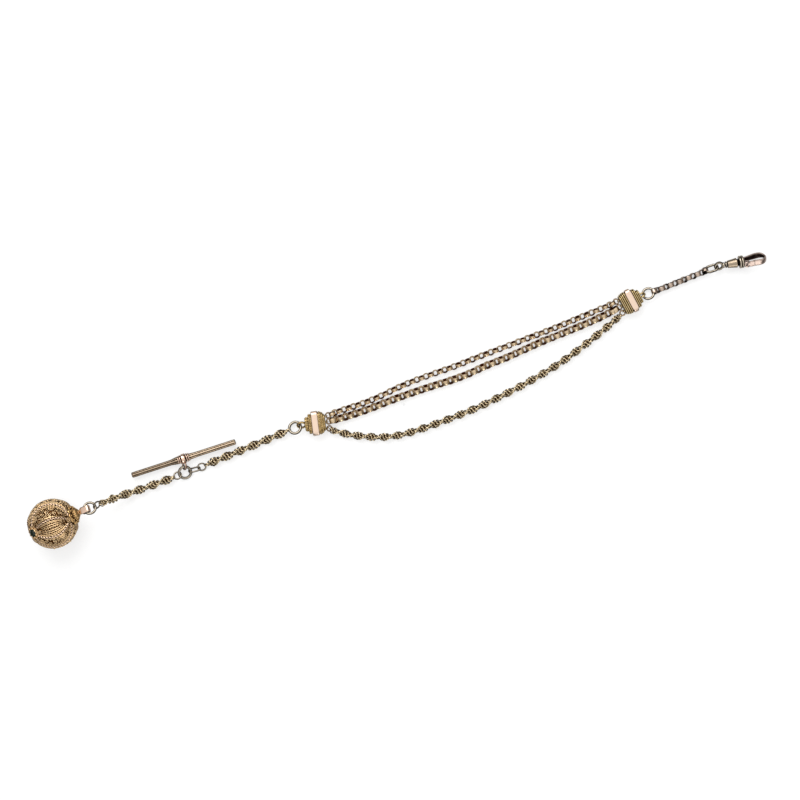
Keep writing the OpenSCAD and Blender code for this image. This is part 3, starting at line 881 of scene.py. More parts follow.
@dataclass(frozen=True)
class RopeChain(Strand):
    """Twisted rope of small rings, each lying half over the next, so that its outline swells and narrows."""

    lobe: float = 4.8  # from one swelling to the next, half a turn of the twist
    width: float = 3.0
    waist: float = 1.42
    wire: float = 0.23  # radius
    links_per_lobe: float = 5.4  # one in six left out, so that the rest can be told apart
    lean: float = 32.0  # of a link's plane from the rope's own line
    first_turn: float = 0.0
    turn_play: float = 5.0  # how unevenly the links are turned
    lean_play: float = 3.0  # how unevenly they lean
    end_size: float = 0.8  # of the last link, as a share of the others
    sides: int = 8  # points round a link's wire
    seed: int = 1

    def build(self) -> None:
        """Makes the rope and the two end links that hang it on its rings."""
        random = np.random.default_rng(self.seed)
        path = along_route(self.route, STEP)
        rests_at = self.width / 2 + 0.2 * self.wire  # the middle's height where the swellings touch the table
        path[:, 2] = np.maximum(path[:, 2], rests_at)
        ahead, side, over = path_frames(path, (0, 0, 1), closed=False)
        spacing = self.lobe / self.links_per_lobe
        links = STEP * (len(path) - 1) / spacing
        count = int(links)
        slack = 0.5 * (links - count)
        form = Form()
        for layer in (Layer(self.lean, 1.0, self.wire, 0.0, 1.0),
                      Layer(-self.lean, 0.62, 0.75 * self.wire, 0.5, 0.0)):
            link = self.link(layer.size, layer.wire)
            for k in range(count + 1):
                at = min(int(round((k + layer.shift + slack) * spacing / STEP)), len(path) - 1)
                turn = math.radians(self.first_turn) - math.pi * (k + layer.shift) * spacing / self.lobe
                turn += math.radians(random.uniform(-self.turn_play, self.turn_play))
                across = math.cos(turn) * side[at] + math.sin(turn) * over[at]
                tilt = math.radians(layer.lean + random.uniform(-self.lean_play, self.lean_play))
                long_way = math.cos(tilt) * ahead[at] + math.sin(tilt) * np.cross(ahead[at], across)
                place = Place.of_axes(path[at], across, np.cross(across, long_way))
                size = self.end_size + (1 - self.end_size) * min(1.0, min(k, count - k) / 2)
                points = link.points * size
                # painted shade on the link's flanks and towards the rope's middle
                shade = layer.dark * self.shade(place.put(points) - path[at], ahead[at], layer.wire)
                form.add(Shape(points, link.faces), shade, place)
        # a dark sheet that stands for the shade inside the rope
        form.add(self.shade_core(path, (ahead, side, over), slack * spacing), 1.0)
        for place in self.end_places(path, 0.5):
            form.add(torus(0.72, self.wire, 36, 10, stretch=0.8), 0.15, place)
        form.piece(f"{self.name}_links", ROPE_GOLD, "old_gold", self.name)

    def link(self, size: float, wire: float) -> Shape:
        """One oval ring, whose wire is worn broad where it lies on the rope's edge.

        Args:
            size: Share of the rope's width.
            wire: Radius of the wire.

        Returns:
            The ring, with its long way along X.
        """
        long_way = size * self.width / 2 - wire
        short_way = (self.waist / 2 - wire) / math.sin(math.radians(self.lean))
        flat = circle_path(1.0, 33)[:-1] * [long_way, short_way, 0]
        broad = 0.75 + 0.45 * (flat[:, 0] / long_way) ** 2
        return sweep(flat, broad[:, None, None] * round_outline(wire, self.sides), (0, 0, 1), closed=True)

    def shade(self, away: Points, ahead: Points, wire: float) -> np.ndarray:
        """Depths of a link: painted shade on its wire's flanks and towards the rope's middle.

        Args:
            away: From the rope's middle to each of the link's points.
            ahead: The rope's direction.
            wire: Radius of the wire.

        Returns:
            The depth of each point.
        """
        reach = self.width / 2 - self.wire
        out = np.linalg.norm(away - (away @ ahead)[:, None] * ahead, axis=1)
        crest = out.reshape(-1, self.sides).max(axis=1).repeat(self.sides)
        flank = np.clip(1.5 * (crest - out) / wire - 0.4, 0, 1)
        middle = np.clip((0.92 * reach - out) / (0.32 * reach), 0, 1)
        return np.maximum(flank, 0.55 * middle)

    def shade_core(self, path: Points, frames: tuple[Points, Points, Points], start: float) -> Shape:
        """A dark sheet through the rope's middle, painted as the shade where the links' inner wires lie too
        close to tell apart.

        Args:
            path: The rope's middle, with a point at each step.
            frames: Directions ahead, to the side and over at each point.
            start: Where the twist starts.

        Returns:
            A flat core that twists with the links.
        """
        ahead, side, over = frames
        gone = STEP * np.arange(len(path)) - start
        turn = (math.radians(self.first_turn) - math.pi * gone / self.lobe)[:, None]
        across = np.cos(turn) * side + np.sin(turn) * over
        normal = np.cross(ahead, across)
        flat = soft_box(self.width * 0.56, self.waist * 0.4, 14, 2.2)
        rows = slice(12, len(path) - 12, 5)
        return skin(path[rows, None] + flat[:, :1] * across[rows, None] + flat[:, 1:] * normal[rows, None])


@dataclass(frozen=True)
class BelcherChain(Strand):
    """Round links of half-round band, each turned a quarter from the last."""

    pitch: float = 1.65
    outside: float = 2.2
    band: float = 0.95  # width of a link's band
    thick: float = 0.33
    longer: float = 1.0  # length of a link as a share of its width
    roll: tuple[float, float] = (-22.0, -22.0)  # at the two ends
    tip: float = 0.0  # how far the flat links lean ahead
    play: float = 5.0  # how unevenly the links lie
    finish: Finish = BELCHER_GOLD
    count: int = 40  # points round a link
    seed: int = 2

    def build(self) -> None:
        """Makes the strand with an end link on each ring."""
        random = np.random.default_rng(self.seed)
        path = along_route(self.route, STEP)
        links = int(round(STEP * (len(path) - 1) / self.pitch))
        ahead, side, over = path_frames(path, (0, 0, 1), closed=False)
        link, depth = self.link()
        form = Form()
        for k in range(links):
            share = (k + 0.5) / links
            at = int(share * (len(path) - 1))
            roll = self.roll[0] + (self.roll[1] - self.roll[0]) * share
            roll += random.uniform(-self.play, self.play)
            turn = math.radians(roll + 90 * (k % 2))
            normal = math.cos(turn) * over[at] + math.sin(turn) * side[at]
            yaw = math.radians(random.uniform(-self.play, self.play) + (0 if k % 2 else self.tip))
            face = unit(normal + math.tan(yaw) * ahead[at])
            x = unit(ahead[at] - face * (ahead[at] @ face))
            form.add(link, depth, Place.of_axes(path[at], x, face))
        for place in self.end_places(path, self.outside / 2 - self.thick - 0.2):
            form.add(link, depth, place)
        form.piece(f"{self.name}_links", self.finish, "rose_gold", self.name)

    def link(self) -> tuple[Shape, np.ndarray]:
        """One link, with painted shade on its inner side and on its rims.

        Returns:
            The shape and the depth of each of its points.
        """
        outline = soft_box(self.thick, self.band, 14, 3.0)
        oval = circle_path((self.outside - self.thick) / 2, self.count + 1)[:-1] * [self.longer, 1, 1]
        # painted shade on the band's rims and on its inner side
        rim = 0.75 * np.clip(np.abs(outline[:, 1]) / (self.band / 2) * 5 - 3.9, 0, 1)
        inner = np.clip(1.6 * outline[:, 0] / (self.thick / 2) + 0.25, 0, 1)
        return sweep(oval, outline, (0, 0, 1), closed=True), np.tile(np.maximum(inner, rim), self.count)


ROPES = (
    RopeChain("rope_lower", [
        (-104.8, 3.5, 8.6), (-103, 3.6, 6.7), (-100, 3.7, 4.5), (-96, 3.6, 2.6), (-91, 3.4, 1.5),
        (-86, 3.4, 1.2), (-80.8, 3.4, 1.2),
    ], ("rope_ring_1", "rope_ring_2"), first_turn=-7.0),
    RopeChain("rope_upper", [
        (-68.5, 3.6, 1.2), (-64, 3.9, 1.2), (-58, 4.1, 1.2), (-51, 4.4, 1.2), (-45, 4.7, 1.2),
        (-39.5, 5.1, 1.3),
    ], ("rope_ring_3", "slide_ring_left"), first_turn=77.0, seed=3),
    RopeChain("rope_swag", [
        (-25.7, 0.3, 1.7), (-21, -2.9, 1.2), (-16, -5.5, 1.2), (-10, -7.9, 1.2), (-4, -9.2, 1.2),
        (2, -9.6, 1.2), (9, -9.7, 1.2), (16, -9.6, 1.2), (23, -9.3, 1.2), (30, -8.6, 1.2), (37, -7.8, 1.2),
        (44, -6.7, 1.2), (51, -5.4, 1.2), (58, -3.6, 1.2), (65, -1.4, 1.2), (71, 0.6, 1.2), (77.4, 3, 1.5),
    ], ("left_link_swag", "right_link_swag"), lobe=4.4, width=2.75, waist=1.35, wire=0.21, links_per_lobe=5.0,
        first_turn=4.0, seed=4),
)

BELCHERS = (
    BelcherChain("belcher_top", [
        (-23.4, 5.4, 1.5), (-19, 5.3, 1.1), (-13, 5.1, 1.1), (-7, 5.3, 1.1), (0, 6, 1.1), (6, 6.3, 1.1),
        (13, 6.3, 1.1), (20, 6.2, 1.1), (27, 6.4, 1.1), (34, 6.5, 1.1), (41, 6.6, 1.1), (48, 6.7, 1.1),
        (55, 6.8, 1.1), (62, 7.1, 1.1), (69, 7.4, 1.1), (76.6, 7.8, 1.5),
    ], ("left_link_top", "right_link_top"), band=1.1, thick=0.3, longer=1.08, roll=(-26.0, -24.0)),
    BelcherChain("belcher_middle", [
        (-23.9, 3.2, 1.5), (-19, 2.8, 1.2), (-13, 2.6, 1.2), (-7, 2.7, 1.2), (0, 2.8, 1.2), (6, 2.7, 1.2),
        (12, 2.5, 1.2), (18, 2.2, 1.2), (24, 2.3, 1.2), (30, 2.8, 1.2), (37, 3, 1.2), (44, 3.5, 1.2),
        (51, 4, 1.2), (58, 4.2, 1.2), (65, 4.5, 1.2), (71, 4.9, 1.2), (76.8, 5.6, 1.5),
    ], ("left_link_middle", "right_link_middle"), pitch=1.68, outside=2.4, band=1.7, thick=0.34, longer=1.2,
        roll=(-26.0, -22.0), seed=5),
    BelcherChain("belcher_end", [
        (91.5, 6.9, 1.3), (97, 7, 1.1), (103, 7.2, 1.1), (109.2, 7.4, 1.3),
    ], ("slide_ring_right", "open_link"), pitch=1.64, outside=2.15, band=1.6, thick=0.36, longer=1.12,
        roll=(-6.0, -9.0), tip=24.0, finish=WORN_GOLD, seed=6),
)


@dataclass(frozen=True)
class TBar:
    """Reeded bar with a saddle in the middle and the loop that hangs it on its ring."""

    place: Place = Place((-75.1, 8.2, 1.7), turned(z=-2))
    length: float = 36.3
    radius: float = 0.92
    reeds: int = 8
    reed_depth: float = 0.3  # share of the radius
    flare: float = 0.33  # how far the bar swells next to the saddle
    flare_right: float = 0.35  # share of that on the right, where it swells less
    darkened: tuple[float, float] = (0.34, 0.04)  # least depth on the left, painted darker as the side the light leaves in shade, and on the right
    saddle_radius: float = 1.7
    rims: Sequence[tuple[float, float]] = ((1.16, 1.54), (1.76, 1.4))  # place along the bar and outer radius
    rim_wire: float = 0.2
    loop_turn: float = -104.3
    loop_lean: float = 50.0
    loop_half: float = 0.9
    loop_leg: float = 2.75
    loop_wire: float = 0.27

    def build(self) -> None:
        """Makes the bar, and the saddle with its rims and loop."""
        self.reeded_bar()
        self.saddle()

    def reeded_bar(self) -> None:
        """The reeded tube, which is closed at both ends and swells towards the saddle."""
        end = self.length / 2
        tip = np.array([0, 0.03, 0.1, 0.25])
        x = np.concatenate([tip - end, np.linspace(0.6 - end, end - 0.6, 120), (end - tip)[::-1]])
        off = np.abs(x)
        flare = self.flare * np.where(x < 0, 1.0, self.flare_right)
        swell = np.exp(-((off - 2.2).clip(0) / 1.6) ** 2) * flare
        edge = np.minimum(1, 0.6 + 0.4 * np.sqrt(np.clip((end - off) / 0.25, 0, 1)))
        a = np.linspace(0, 2 * math.pi, self.reeds * 12, endpoint=False)
        wave = np.abs(np.cos(self.reeds / 2 * a))
        fading = np.clip((end - off) / 0.3, 0, 1)[:, None]
        cut = 1 - self.reed_depth * (1 - wave) ** 2 * fading
        shape = skin(rows_round(x, ((self.radius + swell) * edge)[:, None] * cut, a))
        # painted shade in the grooves between the reeds
        groove = np.clip(2.2 - 2.5 * wave, 0, 1)
        darkened = np.where(x < 0, *self.darkened)[:, None]
        # painted shade under the saddle
        between_rims = np.clip((2.0 - off) / 0.2, 0, 1)[:, None]
        depth = padded(np.maximum(np.maximum(groove, darkened), between_rims), shape)
        Form().add(shape, depth, self.place).piece("tbar_reeded_bar", BAR_GOLD, "rose_gold", "tbar")

    def saddle(self) -> None:
        """The polished band round the bar with two rims on each side, and its loop of flattened wire."""
        half = [(0.66, -0.3), (0.62, -0.12), (0.5, 0.0), (0.25, -0.06)]
        right = [(x, self.saddle_radius + rise) for x, rise in half]
        profile = [(-x, r) for x, r in right] + [(0, self.saddle_radius - 0.08)] + right[::-1]
        band = lathe([(-0.66, 1.0), *profile, (0.66, 1.0)])
        # painted shade on the band's edges, where it meets the bar
        form = Form().add(band, np.clip((np.abs(band.points[:, 0]) - 0.6) / 0.06, 0, 1), self.place)
        for side in (-1, 1):
            for at, rim in self.rims:
                ring = torus(rim - self.rim_wire, self.rim_wire, 64, 12)
                form.add(ring, 0.0, self.place.inner(Place((side * at, 0, 0), turned(y=90))))
        bow = circle_path(self.loop_half, 24, -90, 90) + [self.loop_leg, 0, 0]
        legs = np.linspace(0, self.loop_leg, 22, endpoint=False)
        opening = np.clip((legs - 1.1) / 1.4, 0, 1)
        apart = self.loop_half * (0.5 + 0.5 * opening ** 2 * (3 - 2 * opening))  # close in the saddle
        lower = np.column_stack([legs, -apart, 0 * legs])
        path = np.vstack([lower, bow, (lower * [1, -1, 1])[::-1]])
        outline = soft_box(2 * self.loop_wire, 2.3 * self.loop_wire, 16, 2.6)
        wire = sweep(path, outline, (0, 0, 1))
        # painted shade on the loop's flanks
        flank = np.clip((np.abs(outline[:, 0]) / self.loop_wire - 0.6) / 0.3, 0, 0.8)
        loop = Place(self.place.at, turned(z=self.loop_turn) @ turned(x=self.loop_lean))
        form.add(wire, padded(np.tile(flank, (len(path), 1)), wire), loop)
        form.piece("tbar_saddle", STRAP_GOLD, "rose_gold", "tbar", crease=50)


def box_path(height: float, thick: float, corner: float) -> Points:
    """The outline of a slide across the chain: a rectangle with round corners, in Y and Z.

    Args:
        height: Its size along Y.
        thick: Its size along Z.
        corner: Radius of its corners.

    Returns:
        The path, without its first point repeated.
    """
    y, z = height / 2 - corner, thick / 2 - corner
    arcs = []
    for start, middle in ((0, (0, y, z)), (90, (0, -y, z)), (180, (0, -y, -z)), (270, (0, y, -z))):
        a = np.radians(np.linspace(start, start + 90, 14))
        arcs.append(np.column_stack([0 * a, corner * np.cos(a), corner * np.sin(a)]) + middle)
    t = np.linspace(0, 1, 10)[1:-1, None]
    straights = [arc[-1] * (1 - t) + following[0] * t for arc, following in zip(arcs, arcs[1:] + arcs[:1])]
    return np.vstack([part for pair in zip(arcs, straights) for part in pair])


@dataclass(frozen=True)
class Slide:
    """Slide that gathers the three strands: chased or ridged blocks either side of a polished plate."""

    name: str
    place: Place
    finish: Finish
    ground: float  # depth of the blocks between what is laid round them, painted as the shade between the wires and grains
    steps: Sequence[tuple[float, float, float, float]]  # start, end, height and thickness of each block
    ridges: Sequence[tuple[float, float, float, float]]  # place, height, thickness and radius of each wire
    loop_x: float
    loop_radius: float
    loop_wire: float
    grains: Sequence[tuple[float, float, float, float]] = ()  # place, height, thickness and start of each row
    grain_radius: float = 0.25
    grain_step: float = 0.58
    edge: float = 0.14  # how broadly the blocks' edges are softened
    corner: float = 1.2
    plate_height: float = 8.2
    plate_width: float = 2.2
    plate_thick: float = 4.4
    plate_wall: float = 0.55
    plate_narrows: float = 0.0  # share of its width that the plate loses towards its ends
    eye_x: float = 3.65
    eye_pitch: float = 2.0

    def build(self) -> None:
        """Makes the body and the plate."""
        self.body()
        self.plate()

    def girth(self, height: float, thick: float, inset: float = 0.0) -> Points:
        """The way round the body at X = 0.

        Args:
            height: The body's size along Y.
            thick: The body's size along Z.
            inset: How far the way lies within the surface.

        Returns:
            The path, without its first point repeated.
        """
        corner = min(self.corner, thick / 2 - 0.05)
        return box_path(height - 2 * inset, thick - 2 * inset, corner - inset)

    def block(self, start: float, end: float, height: float, thick: float) -> Shape:
        """One step of the body with softened edges.

        Args:
            start: Where it starts along X.
            end: Where it ends.
            height: Its size along Y.
            thick: Its size along Z.

        Returns:
            The block.
        """
        edge, near = self.edge, 0.3 * self.edge
        rows = ((start, edge), (start + near, near), (start + edge, 0.0),
                (end - edge, 0.0), (end - near, near), (end, edge))
        return skin(np.array([self.girth(height, thick, inset) + [x, 0, 0] for x, inset in rows]))

    def ridge(self, x: float, height: float, thick: float, radius: float) -> Shape:
        """A half-round wire laid round the body."""
        return sweep(self.girth(height, thick) + [x, 0, 0], round_outline(radius, 10), (1, 0, 0), closed=True)

    def grains_round(self, x: float, height: float, thick: float, start: float) -> list[Place]:
        """Places of a row of small grains round the body.

        Args:
            x: Where the row lies along X.
            height: The body's size along Y there.
            thick: Its size along Z.
            start: How far round the body the first grain lies.

        Returns:
            The grains' places.
        """
        way = self.girth(height, thick)
        way = np.vstack([way, way[:1]])
        gone = gone_along(way)
        even = np.linspace(0, gone[-1], int(gone[-1] / self.grain_step), endpoint=False)
        y, z = (np.interp((even + start) % gone[-1], gone, way[:, k]) for k in (1, 2))
        return [Place((x, *at)) for at in zip(y, z)]

    def body(self) -> None:
        """The stepped body, its loop for the ring and its eyes for the strands."""
        form = Form()
        for step in self.steps:
            form.add(self.block(*step), self.ground, self.place)
        form.add(self.block(-1.2, 1.2, 5.4, 2.6), 1.0, self.place)  # inside the plate, painted fully dark as the shade there
        grain = bead(self.grain_radius)
        for row in self.grains:
            form.add(copies(grain, self.grains_round(*row)), 0.0, self.place)
        for ridge in self.ridges:
            form.add(self.ridge(*ridge), 0.0, self.place)
        loop, depth = flank_shaded_torus(self.loop_radius, self.loop_wire, 48, 12)
        form.add(loop, 0.2 * depth, self.place.inner(Place((self.loop_x, 0, 0), turned(x=50))))
        for k in (-1, 0, 1):
            eye = Place((self.eye_x, k * self.eye_pitch, 0), turned(x=90))
            form.add(torus(0.6, 0.17, 32, 10), 0.4, self.place.inner(eye))
        form.piece(f"{self.name}_body", self.finish, "yellow_gold", self.name, crease=55)

    def plate(self) -> None:
        """The polished band round the middle."""
        wall = self.plate_wall
        path = box_path(self.plate_height - wall, self.plate_thick - wall, self.corner - wall / 2)
        far = np.abs(path[:, 1]) / (self.plate_height / 2)
        width = self.plate_width * (1 - self.plate_narrows * np.clip((far - 0.68) / 0.32, 0, 1))
        shape = sweep(path, banded(soft_box(wall, 1.0, 24, 5.0), width), (1, 0, 0), closed=True)
        form = Form().add(shape, 0.0, self.place)
        form.piece(f"{self.name}_band", PLATE_GOLD, "peach_gold", f"{self.name}_plate", crease=50)


# Towards the ring both slides step down in the same way
RING_STEPS = ((-3.4, -2.2, 4.4, 3.0), (-2.25, -1.0, 6.2, 3.8))

SLIDES = (
    Slide(
        "slide_left", Place((-29.9, 4.2, 2.2), turned(z=-13)), CHASED_GOLD, 0.15,
        steps=(*RING_STEPS, (1.0, 2.1, 7.2, 4.0), (2.0, 2.8, 6.4, 4.0), (2.7, 3.4, 5.3, 3.8)),
        ridges=((3.05, 5.4, 3.8, 0.18), (2.0, 7.2, 4.0, 0.14)),
        loop_x=-4.6, loop_radius=1.35, loop_wire=0.36,
        grains=((-2.95, 4.4, 3.0, 0.0), (-2.55, 4.4, 3.0, 0.0), (-1.95, 6.2, 3.8, 0.0),
                (-1.5, 6.2, 3.8, 0.29), (1.55, 7.3, 4.0, 0.0), (2.4, 6.5, 4.0, 0.0)),
    ),
    Slide(
        "slide_right", Place((82.9, 6.6, 2.2), turned(z=188)), RIDGED_GOLD, 0.8,
        steps=(*RING_STEPS, (1.0, 2.2, 7.3, 4.0), (2.1, 2.8, 6.9, 4.0), (2.7, 3.4, 6.3, 3.9)),
        ridges=((-1.44, 6.4, 3.9, 0.19), (-2.02, 6.2, 3.8, 0.19), (-2.62, 4.5, 3.1, 0.18),
                (-3.16, 4.4, 3.0, 0.18), (1.44, 7.4, 4.1, 0.19), (2.08, 7.3, 4.1, 0.21),
                (2.7, 6.9, 4.1, 0.2), (3.24, 6.4, 4.0, 0.18)),
        loop_x=-4.1, loop_radius=0.9, loop_wire=0.28, plate_narrows=0.55,
    ),
)


def twisted_wire(path: Points, up: Points | Vector, radius: float, pitch: float, closed: bool = False,
                 sides: int = 12) -> tuple[Shape, np.ndarray]:
    """Two fine wires twisted into one.

    Args:
        path: The path's points, close together.
        up: The direction of the wire's upper side.
        radius: Of the whole.
        pitch: Length of a full turn, negative for the other hand.
        closed: Whether the path is a loop.
        sides: Points round the wire.

    Returns:
        The shape and the depth of each of its points.
    """
    gone = gone_along(path)
    if closed:
        pitch = math.copysign(gone[-1] / max(1, round(gone[-1] / abs(pitch))), pitch)
    a = np.linspace(0, 2 * math.pi, sides, endpoint=False)
    lobe = np.abs(np.cos(a - 2 * math.pi * gone[:, None] / pitch))
    r = radius * (0.6 + 0.4 * lobe)
    shape = sweep(path, np.stack([r * np.cos(a), r * np.sin(a)], axis=2), up, closed)
    # painted shade in the grooves of the twist, leaving its lobes bright
    return shape, padded(np.clip(1.45 - 1.7 * lobe, 0, 1), shape)


def twisted_ring(radius: float, height: float) -> tuple[Shape, np.ndarray]:
    """A ring of fine twisted wire at a height: the shape and the depth of each of its points."""
    return twisted_wire(circle_path(radius, 90) + [0, 0, height], (0, 0, 1), 0.17, 0.6, closed=True)


def spiral(inner: float, outer: float, turns: float, count: int) -> Points:
    """A flat scroll that winds outwards.

    Args:
        inner: Radius that it starts at.
        outer: Radius that it ends at.
        turns: Number of turns, negative for the other hand.
        count: Number of points.

    Returns:
        The path.
    """
    t = np.linspace(0, 1, count)
    a = 2 * math.pi * turns * t
    r = inner + (outer - inner) * t
    return np.column_stack([r * np.cos(a), r * np.sin(a), 0 * t])


def even_directions(count: int) -> Points:
    """Directions spread evenly all round, along a spiral from pole to pole.

    Args:
        count: Number of directions.

    Returns:
        Unit vectors.
    """
    k = np.arange(count)
    z = 1 - 2 * (k + 0.5) / count
    a = k * math.pi * (3 - math.sqrt(5))  # the golden angle
    flat = np.sqrt(1 - z * z)
    return np.column_stack([flat * np.cos(a), flat * np.sin(a), z])


def towards_centre(path: Points, up: Vector, centre: Vector, closed: bool) -> np.ndarray:
    """Which hand of a path faces a centre.

    Args:
        path: The path's points.
        up: The direction of over.
        centre: The place that it bends round.
        closed: Whether the path is a loop.

    Returns:
        For each point 1 where its side faces the centre, and -1 where it faces away.
    """
    _, side, _ = path_frames(path, up, closed)
    return np.sign(np.sum(side * (np.asarray(centre, float) - path), axis=1))


class Strewn(NamedTuple):
    """Small ornaments of one kind that fill what the bands and rosettes of the ball leave free."""

    name: str
    tries: int  # spots tried all over the ball
    margin: float  # added to the free rings round the rosettes, stone, boss and neck
    from_band: float  # least distance from a band's middle
    from_wire: float  # least distance from a single wire
    apart: float  # least distance from one another
    shapes: Sequence[Shape]


@dataclass(frozen=True)
class Ball:
    """Hollow ball in filigree: bands of braid from the stone to the boss, with rosettes between."""

    centre: Vector = (-122.1, 2.7, 8.3)
    ground: float = 7.95  # radius of the matted ground
    stone_rise: float = 47.0
    stone_turn: float = 187.0
    stone_height: float = 0.35  # of the stone's lower edge, over the ground
    neck_rise: float = 12.5
    neck_turn: float = 3.0
    boss_polar: float = 95.0  # from the stone
    boss_azimuth: float = 170.0  # round the stone
    bands: Sequence[float] = (40, 106, 152, 208, 254, 308)  # headings at the stone, from the boss
    wires: Sequence[float] = (
        324, 335, 346, 2, 13, 24, 51, 95, 117, 141, 163, 197, 219, 243, 265, 297,
    )  # headings of the single wires between the bands
    wire_ends: tuple[float, float] = (3.1, 2.4)  # how far they end from the stone and from the boss
    wire_radius: float = 0.13
    rosettes: Sequence[tuple[float, float]] = (
        (76, 50), (30, 82), (71, -33), (30, -84),
    )  # polar angle from the stone, and azimuth from the boss
    rosette_panels: Sequence[float] = (129, 180, 231)  # headings of panels with a row of rosettes
    rosette_shares: Sequence[float] = (0.2, 0.42, 0.64, 0.84)  # places along those
    rosette_radius: float = 1.35
    cap_sides: int = 240
    seed: int = 11

    @property
    def place(self) -> Place:
        """The ball's centre."""
        return Place(self.centre)

    @property
    def stone_place(self) -> Place:
        """The ball's centre with Z through the stone."""
        return Place(self.centre, turned(y=90 - self.stone_rise, z=self.stone_turn))

    @property
    def setting_place(self) -> Place:
        """The stone's lower edge, with Z through the stone."""
        return self.stone_place.inner(Place((0, 0, self.ground + self.stone_height)))

    @property
    def neck_place(self) -> Place:
        """The ball's centre with Z along the neck."""
        return Place(self.centre, turned(y=90 - self.neck_rise, z=self.neck_turn))

    @property
    def boss_spot(self) -> Points:
        """The direction of the boss."""
        return self.towards(self.boss_polar, 0)

    def towards(self, polar: float, azimuth: float) -> Points:
        """A direction given by its angle from the stone and its turn from the boss."""
        p, a = math.radians(polar), math.radians(azimuth + self.boss_azimuth)
        return self.stone_place.turn @ [math.sin(p) * math.cos(a), math.sin(p) * math.sin(a), math.cos(p)]

    def arc(self, azimuth: float, start: float = 0.0, end: float = 0.0, step: float = 0.3) -> Points:
        """Directions along a circle from the stone to the boss.

        Args:
            azimuth: The circle's heading at the stone, from the boss.
            start: How far from the stone it starts.
            end: How far from the boss it ends.
            step: Distance between the points.

        Returns:
            Unit vectors from the ball's centre.
        """
        p, q = self.towards(0, 0), self.boss_spot
        heading = self.towards(90, azimuth)
        axis = unit(np.cross(q - p, heading))
        middle = axis * (axis @ p)
        radius = np.linalg.norm(p - middle)
        x = (p - middle) / radius
        y = np.cross(axis, x)
        y = y if y @ heading > 0 else -y
        whole = math.atan2((q - middle) @ y, (q - middle) @ x) % (2 * math.pi)
        length = whole * radius * self.ground
        count = max(8, int((length - start - end) / step))
        t = np.linspace(start / length, 1 - end / length, count) * whole
        return middle + radius * (np.cos(t)[:, None] * x + np.sin(t)[:, None] * y)

    def wrapped(self, shape: Shape, direction: Points, spin: float = 0.0) -> Shape:
        """Lays a flat ornament on the ball.

        Args:
            shape: The ornament, with its height along Z.
            direction: Where its middle goes.
            spin: How far it is turned in its own plane.

        Returns:
            The ornament on the ball.
        """
        z = unit(direction)
        x = unit(np.cross([0.3, 0.9, 0.1], z))  # away from every ornament's direction
        axes = np.column_stack([x, np.cross(z, x), z]) @ turned(z=spin)
        outwards = unit(np.column_stack([shape.points[:, :2], np.full(len(shape.points), self.ground)]))
        bent = outwards * (self.ground + shape.points[:, 2:])
        return Shape(bent, shape.faces).at(Place(self.centre, axes))

    def build(self) -> None:
        """Makes the ball with all that is soldered to it."""
        shell = skin(globe(96, 192) * self.ground)
        Form().add(shell, 0.45, self.place).piece("ball_ground", GROUND_GOLD, "yellow_gold", "ball_shell")
        self.braids()
        middles = self.rosette_middles()
        self.flowers(middles)
        self.fine_work(middles)
        self.collet()
        self.stone()
        self.boss()
        self.cap()
        self.knob()
        self.strap()

    def braids(self) -> None:
        """The bands: a bold twisted wire between two plain ones, and single wires in the panels."""
        braid, plain = Form(), Form()
        outline = round_outline(self.wire_radius, 8)
        for azimuth in self.bands:
            line = self.arc(azimuth, 1.75, 1.25, step=0.085)
            shape, depth = twisted_wire((self.ground + 0.14) * line, line, 0.35, 1.9, sides=14)
            braid.add(shape, depth, self.place)
            apart = 0.66 * (0.55 + 0.45 * np.sin(math.pi * np.linspace(0, 1, len(line))) ** 0.6)
            side = apart[:, None] * np.cross(line, unit(np.gradient(line, axis=0)))
            for hand in (-1, 1):
                path = (self.ground + 0.1) * line + hand * side
                plain.add(sweep(path[::4], outline, line[::4]), 0.0, self.place)
        for azimuth in self.wires:
            line = self.arc(azimuth, *self.wire_ends)
            plain.add(sweep((self.ground + 0.08) * line, outline, line), 0.0, self.place)
        braid.piece("ball_braids", PALE_GOLD, "yellow_gold", "ball_shell")
        plain.piece("ball_band_wires", FILIGREE_GOLD, "yellow_gold", "ball_shell")

    def rosette_middles(self) -> list[Points]:
        """Where the rosettes sit, clear of the cap and of each other.

        Returns:
            Directions from the ball's centre.
        """
        middles = [self.towards(*place) for place in self.rosettes]
        for azimuth in self.rosette_panels:
            line = self.arc(azimuth)
            middles += [line[int(share * (len(line) - 1))] for share in self.rosette_shares]
        kept: list[Points] = []
        for middle in middles:
            at_cap = self.angle_gap(middle, self.neck_place.turn[:, 2]) < 4.6
            if not at_cap and self.least_gap(middle, kept) >= 2.9:
                kept.append(middle)
        return kept

    def angle_gap(self, spot: Points, other: Points) -> float:
        """Distance over the ball from a spot to another."""
        return math.acos(np.clip(spot @ other, -1, 1)) * self.ground

    def least_gap(self, spot: Points, others: Points | Sequence[Points]) -> float:
        """Distance straight from a spot to the nearest of others, endless where there are none."""
        return np.linalg.norm(np.reshape(others, (-1, 3)) - spot, axis=1).min(initial=math.inf) * self.ground

    def flowers(self, middles: Sequence[Points]) -> None:
        """The rosettes: eight petals in a twisted ring, round a small ring with a grain in it.

        Args:
            middles: Directions of the rosettes.
        """
        radius = self.rosette_radius
        petal = torus(0.2 * radius, 0.12, 22, 7, stretch=0.72)
        form = Form()
        for middle in middles:
            for shape, depth in (
                twisted_ring(radius, 0.16),
                (torus(0.3 * radius, 0.11, 28, 8).raised(0.2), 0.0),
                (bead(0.2 * radius, 7, 12).raised(0.24), 0.0),
                (copies(petal, places_round(0.62 * radius, 0.14, 8, turning=True)), 0.0),
            ):
                form.add(self.wrapped(shape, middle), depth)
        form.piece("ball_rosettes", FILIGREE_GOLD, "yellow_gold", "ball_shell")

